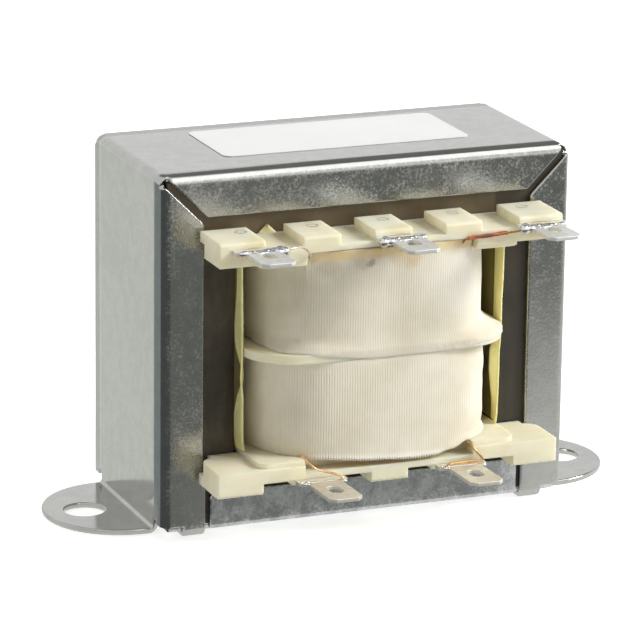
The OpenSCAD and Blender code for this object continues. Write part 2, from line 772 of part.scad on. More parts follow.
// Straight hole that the last span of a route makes in its bead
module wire_hole(p) {
    from = p[len(p) - 2];
    span = p[len(p) - 1] - from;
    translate(from) rotate([0, acos(span[2] / norm(span)), atan2(span[1], span[0])])
        cylinder(h = norm(span), r = lead_d / 2);
}

module upper_solder_left() { solder(upper_lugs[0], upper_left_route, 1); }
module upper_solder_middle() { solder(upper_lugs[1], upper_middle_route, -1); }
module upper_solder_right() { solder(upper_lugs[2], upper_right_route, -1); }
module lower_solder_left() { solder(lower_lugs[0], lower_left_route, 1); }
module lower_solder_right() { solder(lower_lugs[1], lower_right_route, -1); }

// Catmull-Rom point between route points b and c, at fraction t
function smooth(a, b, c, d, t) = 0.5 * (2 * b + (c - a) * t + (2 * a - 5 * b + 4 * c - d) * t * t
    + (3 * b - a - 3 * c + d) * t * t * t);

// Route with one extra point in each span but the last, which stays straight
function finer(p) = let (last = len(p) - 1) [for (i = [0 : last - 2], t = [0, 0.5])
    smooth(p[max(i - 1, 0)], p[i], p[i + 1], p[i + 2], t), p[last - 1], p[last]];

// Direction of a route at point i
function heading(p, i) = let (d = p[min(i + 1, len(p) - 1)] - p[max(i - 1, 0)]) d / norm(d);

// Tube of diameter d along the points p
module wire(p, d) {
    n = wire_sides;
    m = len(p);
    rings = [for (i = [0 : m - 1]) let (h = heading(p, i), s = cross(h, [0.3, 0.2, 1]),
        u = s / norm(s), v = cross(h, u))
        each [for (k = [0 : n - 1]) p[i] + (u * cos(k * 360 / n) + v * sin(k * 360 / n)) * d / 2]];
    faces = concat([[for (k = [0 : n - 1]) k]], [[for (k = [n - 1 : -1 : 0]) (m - 1) * n + k]],
        [for (i = [0 : m - 2], k = [0 : n - 1]) let (q = (k + 1) % n) each
            [[i * n + k, (i + 1) * n + k, i * n + q], [i * n + q, (i + 1) * n + k, (i + 1) * n + q]]]);
    polyhedron(rings, faces);
}

// Route in the frame of the lug, where y points back
function lug_route(route) = [for (p = route) [p[0], -p[1], p[2]]];

module placed_wire(at, route, d) {
    at_lug(at) wire(finer(lug_route(route)), d);
}

module lead(at, route) {
    color([0.8, 0.5, 0.3]) placed_wire(at, route, lead_d);
}

module upper_lead_left() { lead(upper_lugs[0], upper_left_route); }
module upper_lead_middle() { lead(upper_lugs[1], upper_middle_route); }
module upper_lead_right() { lead(upper_lugs[2], upper_right_route); }
module lower_lead_left() { lead(lower_lugs[0], lower_left_route); }
module lower_lead_right() { lead(lower_lugs[1], lower_right_route); }

// Red sleeve over part of the upper right lead
module lead_sleeve() {
    part = [for (i = [sleeve_first : sleeve_last]) upper_right_route[i]];
    color([0.75, 0.25, 0.12]) difference() {
        placed_wire(upper_lugs[2], part, sleeve_d);
        placed_wire(upper_lugs[2], upper_right_route, lead_d);
    }
}

module top_label() {
    color([0.93, 0.93, 0.92]) translate([label_x, label_y, frame_h]) linear_extrude(label_t)
        round_rect([-label_l / 2, -label_w / 2], [label_l / 2, label_w / 2], label_r);
}

channel_frame();
base_strap();
e_laminations();
i_laminations();
bobbin();
lower_winding();
upper_winding();
lower_tape();
upper_tape();
window_liner_left();
window_liner_right();
film_corner();
upper_lug_left();
upper_lug_middle();
upper_lug_right();
lower_lug_left();
lower_lug_right();
upper_solder_left();
upper_solder_middle();
upper_solder_right();
lower_solder_left();
lower_solder_right();
upper_lead_left();
upper_lead_middle();
upper_lead_right();
lead_sleeve();
lower_lead_left();
lower_lead_right();
top_label();
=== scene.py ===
"""Looks of the chassis-mount transformer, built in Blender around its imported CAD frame.

Lengths are millimetres in the classes and metres in Blender, in the frame of the CAD: X runs along
the feet, Y points to the back and Z points up. The floor is at Z = 0.
"""

from __future__ import annotations

import json
import logging
import math
from dataclasses import dataclass
from enum import Enum
from typing import Iterable, Sequence, Union

import bpy
import numpy as np
from mathutils import Matrix, Vector, noise

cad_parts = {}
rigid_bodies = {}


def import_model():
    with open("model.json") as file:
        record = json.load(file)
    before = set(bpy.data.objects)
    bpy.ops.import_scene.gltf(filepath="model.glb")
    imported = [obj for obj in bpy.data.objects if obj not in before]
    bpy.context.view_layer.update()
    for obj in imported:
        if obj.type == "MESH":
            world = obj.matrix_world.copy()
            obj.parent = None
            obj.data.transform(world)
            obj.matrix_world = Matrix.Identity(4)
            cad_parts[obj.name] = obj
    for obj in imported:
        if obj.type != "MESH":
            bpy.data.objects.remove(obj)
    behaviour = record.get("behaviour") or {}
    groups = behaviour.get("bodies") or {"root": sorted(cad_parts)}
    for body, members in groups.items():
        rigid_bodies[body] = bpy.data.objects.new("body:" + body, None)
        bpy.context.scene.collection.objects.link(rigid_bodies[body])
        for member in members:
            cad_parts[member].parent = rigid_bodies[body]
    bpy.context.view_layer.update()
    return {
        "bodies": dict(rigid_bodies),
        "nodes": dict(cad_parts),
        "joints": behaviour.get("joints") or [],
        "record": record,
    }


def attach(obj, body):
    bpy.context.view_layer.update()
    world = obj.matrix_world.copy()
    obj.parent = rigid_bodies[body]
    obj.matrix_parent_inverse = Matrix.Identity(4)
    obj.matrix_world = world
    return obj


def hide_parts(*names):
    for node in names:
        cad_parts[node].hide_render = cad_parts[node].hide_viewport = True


LOG = logging.getLogger("transformer")
MM = 0.001
BODY = "root"
Point = Sequence[float]
Colour = tuple[float, float, float]
Value = Union["Signal", float, Colour]


class Side(Enum):
    """End of the transformer, by the sign of X."""

    LEFT = -1
    RIGHT = 1


class Tier(Enum):
    """Half of the bobbin, by the sign of its height above the middle of the window."""

    UPPER = 1
    LOWER = -1


class WireCoat(Enum):
    """Surface of a lead."""

    ENAMEL = "enamel"
    DARK = "dark"
    TINNED = "tinned"


# Shader maths


class Signal:
    """A value inside a shader. Operators on it, and on numbers beside it, add Math nodes."""

    def __init__(self, shader: "Shader", socket: bpy.types.NodeSocket | None) -> None:
        """Keeps the output socket that carries the value, which an end node doesn't have."""
        self.shader = shader
        self.socket = socket

    def _math(self, operation: str, first: Value, second: Value = 0.0) -> "Signal":
        """Adds one Math node."""
        return self.shader.node("ShaderNodeMath", {"operation": operation}, {0: first, 1: second})

    def __add__(self, other: Value) -> "Signal":
        """Sum."""
        return self._math("ADD", self, other)

    def __radd__(self, other: Value) -> "Signal":
        """Reflected sum."""
        return self._math("ADD", other, self)

    def __sub__(self, other: Value) -> "Signal":
        """Difference."""
        return self._math("SUBTRACT", self, other)

    def __rsub__(self, other: Value) -> "Signal":
        """Reflected difference."""
        return self._math("SUBTRACT", other, self)

    def __mul__(self, other: Value) -> "Signal":
        """Product."""
        return self._math("MULTIPLY", self, other)

    def __rmul__(self, other: Value) -> "Signal":
        """Reflected product."""
        return self._math("MULTIPLY", other, self)

    def __abs__(self) -> "Signal":
        """Absolute value."""
        return self._math("ABSOLUTE", self)

    def or_more(self, other: Value) -> "Signal":
        """The larger of the two."""
        return self._math("MAXIMUM", self, other)

    def rise(self, low: float, high: float) -> "Signal":
        """Smooth step from 0 at low to 1 at high. With low above high it falls instead.

        Args:
            low: value at which the step begins.
            high: value at which the step ends.

        Returns:
            The step, from 0 to 1.
        """
        if low > high:
            return 1 - self.rise(high, low)
        return self.shader.node("ShaderNodeMapRange", {"interpolation_type": "SMOOTHSTEP"},
                                {0: self, 1: low, 2: high, 3: 0.0, 4: 1.0})


class Shader:
    """The node tree of one material, or of the world."""

    def __init__(self, name: str, world: bool = False) -> None:
        """Makes the material or the world, and empties its tree."""
        self.owner = (bpy.data.worlds if world else bpy.data.materials).new(name)
        self.owner.use_nodes = True
        self.tree = self.owner.node_tree
        self.tree.nodes.clear()
        self._place: Signal | None = None

    def node(self, kind: str, settings: dict | None = None, sockets: dict | None = None,
             output: int | str = 0) -> Signal:
        """Makes a node of any kind.

        Args:
            kind: the node's type.
            settings: the node's own settings, set first.
            sockets: values or signals for its input sockets, by name or number.
            output: name or number of the output to use.

        Returns:
            The chosen output.
        """
        made = self.tree.nodes.new(kind)
        for key, value in (settings or {}).items():
            setattr(made, key, value)
        for key, value in (sockets or {}).items():
            self.feed(made.inputs[key], value)
        return Signal(self, made.outputs[output] if made.outputs else None)

    def feed(self, socket: bpy.types.NodeSocket, value: Value) -> None:
        """Links a signal to a socket, or sets the socket's own value."""
        if isinstance(value, Signal):
            self.tree.links.new(value.socket, socket)
        elif socket.type == "RGBA":
            socket.default_value = (*value, 1.0)
        else:
            socket.default_value = value

    def place(self) -> Signal:
        """Position on the object, in millimetres."""
        if self._place is None:
            metres = self.node("ShaderNodeTexCoord", output="Object")
            self._place = self.node("ShaderNodeVectorMath", {"operation": "SCALE"},
                                    {0: metres, "Scale": 1 / MM})
        return self._place

    def axis(self, letter: str) -> Signal:
        """X, Y or Z of the position, in millimetres."""
        return self.node("ShaderNodeSeparateXYZ", sockets={0: self.place()}, output=letter)

    def noise(self, size: float | Point, detail: float = 2.0, roughness: float = 0.5,
              shift: float = 0.0) -> Signal:
        """Noise from 0 to 1.

        Args:
            size: size of its features in millimetres, one for all axes or one for each.
            detail: number of finer layers.
            roughness: strength of the finer layers.
            shift: moves the pattern, so that two of them differ.

        Returns:
            The noise value.
        """
        sizes = (size,) * 3 if isinstance(size, (int, float)) else tuple(size)
        scaled = self.node("ShaderNodeVectorMath", {"operation": "MULTIPLY_ADD"},
                           {0: self.place(), 1: tuple(1 / s for s in sizes), 2: (shift,) * 3})
        return self.node("ShaderNodeTexNoise", {},
                         {"Vector": scaled, "Scale": 1.0, "Detail": detail,
                          "Roughness": roughness})

    def measure(self, name: str) -> Signal:
        """A value that the mesh carries at each point."""
        return self.node("ShaderNodeAttribute", {"attribute_name": name}, output="Fac")

    def blend(self, first: Value, second: Value, share: Value) -> Signal:
        """Mixes two colours by a share from 0 to 1."""
        return self.node("ShaderNodeMix", {"data_type": "RGBA"},
                         {0: share, 6: first, 7: second}, output=2)

    def distance(self, spot: Point) -> Signal:
        """Millimetres from a spot on the object."""
        return self.node("ShaderNodeVectorMath", {"operation": "DISTANCE"},
                         {0: self.place(), 1: spot}, output="Value")

    def bump(self, height: Value, depth: float, under: Signal | None = None) -> Signal:
        """Normal of a height from 0 to 1.

        Args:
            height: the height.
            depth: millimetres that a height of 1 stands for.
            under: another normal to build on.

        Returns:
            The bumped normal.
        """
        sockets = {"Height": height, "Distance": depth * MM, "Strength": 1.0}
        if under is not None:
            sockets["Normal"] = under
        return self.node("ShaderNodeBump", {}, sockets)

    def rounded(self, radius: float) -> Signal:
        """Normal that rounds sharp edges off, by a radius in millimetres."""
        return self.node("ShaderNodeBevel", {"samples": 4}, {"Radius": radius * MM})

    def surface(self, **sockets: Value) -> bpy.types.Material:
        """Ends the tree in a principled surface.

        Args:
            **sockets: socket names, with _ for each space.

        Returns:
            The finished material.
        """
        named = {name.replace("_", " "): value for name, value in sockets.items()}
        shown = self.node("ShaderNodeBsdfPrincipled", {}, named)
        return self.end(shown)

    def glow(self, colour: Value, strength: Value = 1.0) -> Signal:
        """Light of a colour, the same in all directions."""
        return self.node("ShaderNodeEmission", {}, {"Color": colour, "Strength": strength})

    def end(self, shown: Signal) -> bpy.types.Material:
        """Ends a material's tree in what it shows."""
        self.node("ShaderNodeOutputMaterial", {}, {"Surface": shown})
        return self.owner


# Finishes


@dataclass(frozen=True)
class PlatedSheet:
    """Zinc-plated steel sheet, mottled on the flanges and plain on the other faces.

    The sheet rounds off a little before each front or back bend begins.
    """

    name: str
    dark: Colour
    light: Colour
    smooth: float
    dull: float
    fleck: Colour = (0.70, 0.70, 0.68)
    grain_mm: float = 0.38
    fleck_mm: float = 0.3
    spangle_mm: float = 2.2
    cloud_mm: float = 13.0
    depth_mm: float = 0.035
    flange_y: float = 14.05
    round_from: float = 10.4
    round_width: float = 7.0
    round_depth: float = 2.0

    def material(self) -> bpy.types.Material:
        """Builds the material."""
        shader = Shader(self.name)
        grain = shader.noise(self.grain_mm, 2, 0.6)
        spangle = shader.noise(self.spangle_mm, 4, 0.65, shift=9.4)
        cloud = shader.noise(self.cloud_mm, 3, 0.55, shift=3.1)
        flecks = shader.noise(self.fleck_mm, 2, 0.6, shift=1.3).rise(0.6, 0.72)
        out = abs(shader.axis("Y"))
        flange = out.rise(self.flange_y - 0.25, self.flange_y)
        tone = cloud * 0.25 + spangle * 0.5 + grain * 0.25
        colour = shader.blend(self.dark, self.light, tone.rise(0.41, 0.59))
        colour = shader.blend(colour, self.fleck, flecks * flange * 0.15)
        specks = grain.rise(0.42, 0.7) * spangle.rise(0.3, 0.62) * flange
        patches = cloud.rise(0.4, 0.62) * flange
        gloss = self.smooth + (self.dull - self.smooth) * (specks * 0.8 + patches * 0.2)
        height = (grain * 0.5 + flecks * 0.2 + spangle * 0.3) * (0.15 + flange * 0.85)
        fall = out.rise(self.round_from, self.round_from + self.round_width) * -1.0
        rounded = shader.bump(fall, self.round_depth)
        return shader.surface(Base_Color=colour, Metallic=1.0, Roughness=gloss,
                              Normal=shader.bump(height, self.depth_mm, rounded))


@dataclass(frozen=True)
class VarnishedSteel:
    """Silicon steel plates under brown varnish, browner on top and darker at the right."""

    name: str
    dark: Colour = (0.032, 0.025, 0.018)
    brown: Colour = (0.092, 0.070, 0.044)
    worn: Colour = (0.17, 0.135, 0.09)
    top_tint: Colour = (0.17, 0.125, 0.065)
    shaded: Colour = (0.02, 0.02, 0.016)
    top_tint_z: tuple[float, float] = (37.0, 39.0)
    shaded_x: tuple[float, float] = (18.5, 19.0)

    def material(self) -> bpy.types.Material:
        """Builds the material."""
        shader = Shader(self.name)
        cloud = shader.noise(6.0, 4, 0.6)
        streak = shader.noise((2.5, 2.5, 14.0), 3, 0.6, shift=4.2)
        fine = shader.noise(0.5, 3, 0.7, shift=8.0)
        colour = shader.blend(self.dark, self.brown, (cloud * 0.5 + streak * 0.5).rise(0.35, 0.68))
        colour = shader.blend(colour, self.worn, fine.rise(0.6, 0.78) * 0.35)
        # Lighter brown from Z 37 upwards.
        colour = shader.blend(colour, self.top_tint, shader.axis("Z").rise(*self.top_tint_z) * 0.5)
        colour = shader.blend(colour, self.shaded, shader.axis("X").rise(*self.shaded_x) * 0.6)
        return shader.surface(Base_Color=colour, Metallic=0.25, Roughness=0.34 + cloud * 0.22,
                              Coat_Weight=0.25, Coat_Roughness=0.3,
                              Normal=shader.bump(fine * 0.5 + cloud * 0.5, 0.02))


@dataclass(frozen=True)
class MouldedNylon:
    """Natural nylon, milky and slightly see-through, stained where it was soldered."""

    name: str
    hot_spots: tuple[tuple[float, float, float], ...]
    deep: Colour = (0.79, 0.73, 0.52)
    pale: Colour = (0.88, 0.835, 0.65)
    scorched: Colour = (0.74, 0.57, 0.27)
    edge_mm: float = 0.35

    def material(self) -> bpy.types.Material:
        """Builds the material."""
        shader = Shader(self.name)
        cloud = shader.noise(5.0, 3, 0.55)
        flow = shader.noise((7.0, 1.8, 1.8), 2, 0.5, shift=2.4)
        fine = shader.noise(0.45, 2, 0.5, shift=5.5)
        colour = shader.blend(self.deep, self.pale, (cloud * 0.6 + flow * 0.4).rise(0.3, 0.7))
        heat: Value = 0.0
        for spot in self.hot_spots:
            heat = (shader.distance(spot) + cloud * 2.2).rise(4.4, 1.6).or_more(heat)
        colour = shader.blend(colour, self.scorched, heat * 0.5)
        return shader.surface(Base_Color=colour, Roughness=0.36 + fine * 0.16,
                              Subsurface_Weight=0.6, Subsurface_Radius=(1.0, 0.78, 0.45),
                              Subsurface_Scale=2.2 * MM, IOR=1.53,
                              Normal=shader.bump(flow * 0.6 + fine * 0.4, 0.02,
                                                 shader.rounded(self.edge_mm)))


@dataclass(frozen=True)
class StainAndShade:
    """A round patch of colour, in the frame's millimetres: most are real stains, a few are painted
    shade and one is painted light.
    """

    spot: tuple[float, float, float]
    reach: float
    colour: Colour = (0.34, 0.20, 0.10)
    strength: float = 0.6


@dataclass(frozen=True)
class WovenTape:
    """Cotton tape with upright cords, stained by varnish near the lugs, with painted shade in the
    grooves between the cords. The round patches it is given are real stains, painted shade and
    painted light.

    The mesh carries three values: rib, from 0 in a groove to 1 on a cord, hem, 1 on the selvedge,
    and a third that is 1 where varnish has made the tape golden and smooth.
    """

    name: str
    # Round patches of colour: real stains, and some painted shade and painted light.
    stains_and_shading: tuple[StainAndShade, ...]
    deep: Colour = (0.74, 0.68, 0.53)
    pale: Colour = (0.86, 0.81, 0.68)
    groove_shade: Colour = (0.58, 0.51, 0.37)
    fluff: Colour = (0.64, 0.57, 0.42)
    varnish: tuple[Colour, Colour] = ((0.66, 0.50, 0.24), (0.78, 0.66, 0.42))
    selvedge: Colour = (0.90, 0.875, 0.80)

    def material(self) -> bpy.types.Material:
        """Builds the material."""
        shader = Shader(self.name)
        rib = shader.measure("rib")
        cloud = shader.noise(7.0, 3, 0.55)
        fibre = shader.noise((0.5, 0.5, 0.16), 3, 0.7, shift=3.3)
        colour = shader.blend(self.deep, self.pale, cloud.rise(0.3, 0.7))
        # Painted shade: the grooves between the cords are darker.
        colour = shader.blend(colour, self.groove_shade, (1 - rib) * 0.3)
        colour = shader.blend(colour, self.fluff, fibre.rise(0.52, 0.8) * 0.3)
        soak_and_shade = shader.noise(1.6, 4, 0.65, shift=6.1)
        # Round patches: real stains, and some painted shade and painted light.
        for stain_and_shade in self.stains_and_shading:
            away = shader.distance(stain_and_shade.spot) + (soak_and_shade - 0.5) * 2.6
            mark = away.rise(stain_and_shade.reach, stain_and_shade.reach * 0.2)
            colour = shader.blend(colour, stain_and_shade.colour, mark * stain_and_shade.strength)
        varnish = shader.blend(*self.varnish, cloud.rise(0.35, 0.65))
        colour = shader.blend(colour, varnish, shader.measure("soak_and_shade"))
        colour = shader.blend(colour, self.selvedge, shader.measure("hem") * 0.75)
        return shader.surface(Base_Color=colour, Roughness=0.86, Sheen_Weight=0.12,
                              Subsurface_Weight=0.12, Subsurface_Radius=(1.0, 0.8, 0.5),
                              Subsurface_Scale=0.5 * MM,
                              Normal=shader.bump(fibre, 0.03))


@dataclass(frozen=True)
class ThinFilm:
    """Yellow insulating film. The mesh carries a value that is 1 where the film is painted dark.
    """

    name: str
    colour: Colour
    deep: Colour
    # Colours of the darkened film: painted shade on the right liner and on the hidden back halves,
    # and the darker band by the core on the left liner; dark brown by the core face and dark olive
    # deeper inside the window.
    varnish: Colour = (0.16, 0.13, 0.045)
    inner: Colour = (0.34, 0.29, 0.09)
    inner_y: tuple[float, float] = (13.5, 12.6)

    def material(self) -> bpy.types.Material:
        """Builds the material."""
        shader = Shader(self.name)
        cloud = shader.noise(4.0, 3, 0.6)
        fibre = shader.noise((0.35, 0.35, 1.4), 3, 0.6, shift=2.0)
        colour = shader.blend(self.deep, self.colour, (cloud * 0.6 + fibre * 0.4).rise(0.3, 0.6))
        # Painted shade: the film turns dark where the mesh's value is 1.
        soaked_and_shaded = (shader.measure("soak_and_shade") + (cloud - 0.5) * 0.3).rise(0.2, 0.8)
        inside = abs(shader.axis("Y")).rise(*self.inner_y)
        colour = shader.blend(colour, shader.blend(self.varnish, self.inner, inside), soaked_and_shaded)
        return shader.surface(Base_Color=colour, Roughness=0.42 + fibre * 0.2,
                              Subsurface_Weight=0.15, Subsurface_Radius=(1.0, 0.8, 0.3),
                              Subsurface_Scale=0.6 * MM,
                              Normal=shader.bump(fibre * 0.5 + cloud * 0.5, 0.03))


@dataclass(frozen=True)
class BareMetal:
    """Tinned brass, solder or copper: bright metal with fine scratches and dull patches."""

    name: str
    dark: Colour
    light: Colour
    smooth: float
    dull: float
    patch_mm: float = 1.2
    depth_mm: float = 0.012
    edge_mm: float = 0.0

    def material(self) -> bpy.types.Material:
        """Builds the material."""
        shader = Shader(self.name)
        patch = shader.noise(self.patch_mm, 3, 0.6)
        scratch = shader.noise((0.06, 1.6, 0.3), 2, 0.6, shift=5.0)
        tone = (patch * 0.7 + scratch * 0.3).rise(0.32, 0.68)
        colour = shader.blend(self.dark, self.light, tone)
        gloss = self.dull + (self.smooth - self.dull) * tone
        under = shader.rounded(self.edge_mm) if self.edge_mm else None
        return shader.surface(Base_Color=colour, Metallic=1.0, Roughness=gloss,
                              Normal=shader.bump(patch * 0.7 + scratch * 0.3, self.depth_mm,
                                                 under))


@dataclass(frozen=True)
class SoftSleeve:
    """Red-brown sleeve under varnish, darker where the varnish lies thick."""

    name: str
    dark: Colour = (0.13, 0.026, 0.005)
    red: Colour = (0.55, 0.135, 0.035)

    def material(self) -> bpy.types.Material:
        """Builds the material."""
        shader = Shader(self.name)
        patch = shader.noise((2.4, 0.5, 0.5), 3, 0.6)
        fine = shader.noise(0.25, 2, 0.5, shift=4.0)
        colour = shader.blend(self.dark, self.red, patch.rise(0.4, 0.62))
        return shader.surface(Base_Color=colour, Roughness=0.3 + fine * 0.2, Coat_Weight=0.2,
                              Coat_Roughness=0.15,
                              Normal=shader.bump(patch * 0.7 + fine * 0.3, 0.05))


@dataclass(frozen=True)
class LabelStock:
    """Blank white label with a soft paper grain and slightly soiled edges."""

    name: str
    half: tuple[float, float]
    centre: tuple[float, float]
    deep: Colour = (0.76, 0.76, 0.75)
    pale: Colour = (0.82, 0.82, 0.81)
    soiled: Colour = (0.66, 0.65, 0.62)
    edge_mm: float = 1.1

    def material(self) -> bpy.types.Material:
        """Builds the material."""
        shader = Shader(self.name)
        grain = shader.noise(0.35, 3, 0.6)
        cloud = shader.noise(9.0, 2, 0.5, shift=1.0)
        edges = [abs(shader.axis(letter) - middle).rise(half - self.edge_mm, half)
                 for letter, middle, half in zip("XY", self.centre, self.half)]
        colour = shader.blend(self.deep, self.pale, cloud)
        colour = shader.blend(colour, self.soiled, edges[0].or_more(edges[1]) * cloud * 0.4)
        return shader.surface(Base_Color=colour, Roughness=0.5 + grain * 0.12,
                              Normal=shader.bump(grain, 0.006))


# Mesh making


def smooth_step(value: float | np.ndarray, low: float, high: float) -> float | np.ndarray:
    """Smooth step from 0 at low to 1 at high, falling when low is above high."""
    share = np.clip((value - low) / (high - low), 0.0, 1.0)
    return share * share * (3 - 2 * share)


def ripple(x: float, y: float, z: float, seed: float = 0.0) -> float:
    """Smooth noise from -1 to 1 at a point, the same on each run."""
    return noise.noise(Vector((x + seed, y - seed, z + 2 * seed)))


class Bench:
    """Makes the pieces, and dresses the CAD nodes."""

    def __init__(self, nodes: dict[str, bpy.types.Object]) -> None:
        """Keeps the CAD nodes by name."""
        self.nodes = nodes

    def dress(self, name: str, material: bpy.types.Material, edge: float = 0.0) -> None:
        """Gives a CAD node its finish.

        Args:
            name: the node.
            material: its finish.
            edge: width in millimetres of the softened edges, or 0 for none.
        """
        node = self.nodes[name]
        node.data.materials.clear()
        node.data.materials.append(material)
        if edge > 0:
            weld = node.modifiers.new("weld", "WELD")
            weld.merge_threshold = 0.002 * MM
            plane = node.modifiers.new("join_planes", "DECIMATE")
            plane.decimate_type = "DISSOLVE"
            plane.angle_limit = math.radians(0.5)
            soft = node.modifiers.new("soft_edges", "BEVEL")
            soft.width = edge * MM
            soft.segments = 3
            soft.limit_method = "ANGLE"
            soft.angle_limit = math.radians(40)
            soft.use_clamp_overlap = False
            soft.loop_slide = False
            even = node.modifiers.new("even_shading", "WEIGHTED_NORMAL")
            even.keep_sharp = False
        LOG.info("dressed %s", name)

    def piece(self, name: str, points: np.ndarray, faces: Iterable[Sequence[int]],
              material: bpy.types.Material, replaces: Sequence[str] = (),
              values: dict[str, np.ndarray] | None = None) -> bpy.types.Object:
        """Makes one piece of the visual model.

        Args:
            name: its name.
            points: its points, in millimetres.
            faces: point numbers of each face.
            material: its finish.
            replaces: CAD nodes that it stands for.
            values: values that each point carries, for the shader.

        Returns:
            The piece, riding on the body.
        """
        mesh = bpy.data.meshes.new(name)
        mesh.from_pydata((np.asarray(points, float) * MM).tolist(), [], [list(f) for f in faces])
        mesh.validate()
        for key, numbers in (values or {}).items():
            layer = mesh.attributes.new(key, "FLOAT", "POINT")
            layer.data.foreach_set("value", np.asarray(numbers, np.float32))
        mesh.shade_smooth()
        mesh.materials.append(material)
        made = bpy.data.objects.new(name, mesh)
        bpy.context.scene.collection.objects.link(made)
        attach(made, BODY)
        if replaces:
            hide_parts(*replaces)
        LOG.info("made %s with %d faces", name, len(mesh.polygons))
        return made

    @staticmethod
    def settle(made: bpy.types.Object) -> None:
        """Applies a piece's modifiers to its mesh."""
        graph = bpy.context.evaluated_depsgraph_get()
        final = bpy.data.meshes.new_from_object(made.evaluated_get(graph))
        made.modifiers.clear()
        made.data = final

    @staticmethod
    def tube(path: np.ndarray, radii: np.ndarray, sides: int = 14) -> tuple[np.ndarray, list]:
        """Round tube along a path, closed by domed ends.

        Args:
            path: points along its middle.
            radii: its radius at each of them.
            sides: number of points around.

        Returns:
            Its points and faces.
        """
        heads = np.gradient(path, axis=0)
        heads /= np.linalg.norm(heads, axis=1)[:, None]
        across = np.cross(heads[0], (0.3, 0.2, 1.0))
        rings = []
        turn = np.linspace(0, 2 * math.pi, sides, endpoint=False)
        for place, head, radius in zip(path, heads, radii):
            across = across - head * (across @ head)
            across /= np.linalg.norm(across)
            other = np.cross(head, across)
            rings.append(place + radius * (np.outer(np.cos(turn), across)
                                           + np.outer(np.sin(turn), other)))
        points = np.vstack([*rings, path[:1] - heads[:1] * radii[0] * 0.5,
                            path[-1:] + heads[-1:] * radii[-1] * 0.5])
        first, last = len(points) - 2, len(points) - 1
        rows = len(path)
        faces = [[r * sides + k, r * sides + (k + 1) % sides,
                  (r + 1) * sides + (k + 1) % sides, (r + 1) * sides + k]
                 for r in range(rows - 1) for k in range(sides)]
        faces += [[first, (k + 1) % sides, k] for k in range(sides)]
        faces += [[last, (rows - 1) * sides + k, (rows - 1) * sides + (k + 1) % sides]
                  for k in range(sides)]
        return points, faces


def curve_through(points: Sequence[Point], per_span: int = 10) -> np.ndarray:
    """Smooth path through route points.

    Args:
        points: the route.
        per_span: number of points in each span.

    Returns:
        The points of the path.
    """
    p = np.asarray(points, float)
    padded = np.vstack([2 * p[0] - p[1], p, 2 * p[-1] - p[-2]])
    path = []
    for i in range(1, len(padded) - 2):
        a, b, c, d = padded[i - 1:i + 3]
        for t in np.linspace(0, 1, per_span, endpoint=False):
            path.append(0.5 * (2 * b + (c - a) * t + (2 * a - 5 * b + 4 * c - d) * t ** 2
                               + (3 * b - a - 3 * c + d) * t ** 3))
    path.append(p[-1])
    return np.array(path)


def sheet_faces(rows: int, columns: int, flipped: bool) -> list[list[int]]:
    """Faces of a thin sheet, made of two grids of points and closed at the rim.

    Args:
        rows: rows of points in each grid.
        columns: points in each row.
        flipped: whether the faces turn the other way.

    Returns:
        The faces, for the points of the first grid and then those of the second.
    """
    size = rows * columns
    faces = []
    for r in range(rows - 1):
        for k in range(columns - 1):
            a = r * columns + k
            quad = [a, a + 1, a + columns + 1, a + columns]
            faces += [quad, [size + q for q in quad[::-1]]]
    rim = [*range(columns), *[r * columns + columns - 1 for r in range(1, rows)],
           *[(rows - 1) * columns + k for k in range(columns - 2, -1, -1)],
           *[r * columns for r in range(rows - 2, 0, -1)]]
    faces += [[b, a, size + a, size + b] for a, b in zip(rim, rim[1:] + rim[:1])]
    return [f[::-1] for f in faces] if flipped else faces


# Sub-assemblies


@dataclass
class SheetWork:
    """Channel frame and base strap."""

    edge: float = 0.24

    def build(self, bench: Bench) -> None:
        """Dresses both sheets."""
        frame = PlatedSheet("plated_sheet", (0.40, 0.405, 0.385), (0.45, 0.45, 0.43), 0.14, 0.5)
        strap = PlatedSheet("strap_sheet", (0.35, 0.36, 0.36), (0.59, 0.60, 0.60), 0.15, 0.5)
        bench.dress("channel_frame", frame.material(), self.edge)
        bench.dress("base_strap", strap.material(), self.edge)


@dataclass
class Core:
    """E and I plates."""

    def build(self, bench: Bench) -> None:
        """Dresses both stacks."""
        varnish = VarnishedSteel("core_varnish").material()
        bench.dress("e_laminations", varnish)
        bench.dress("i_laminations", varnish)


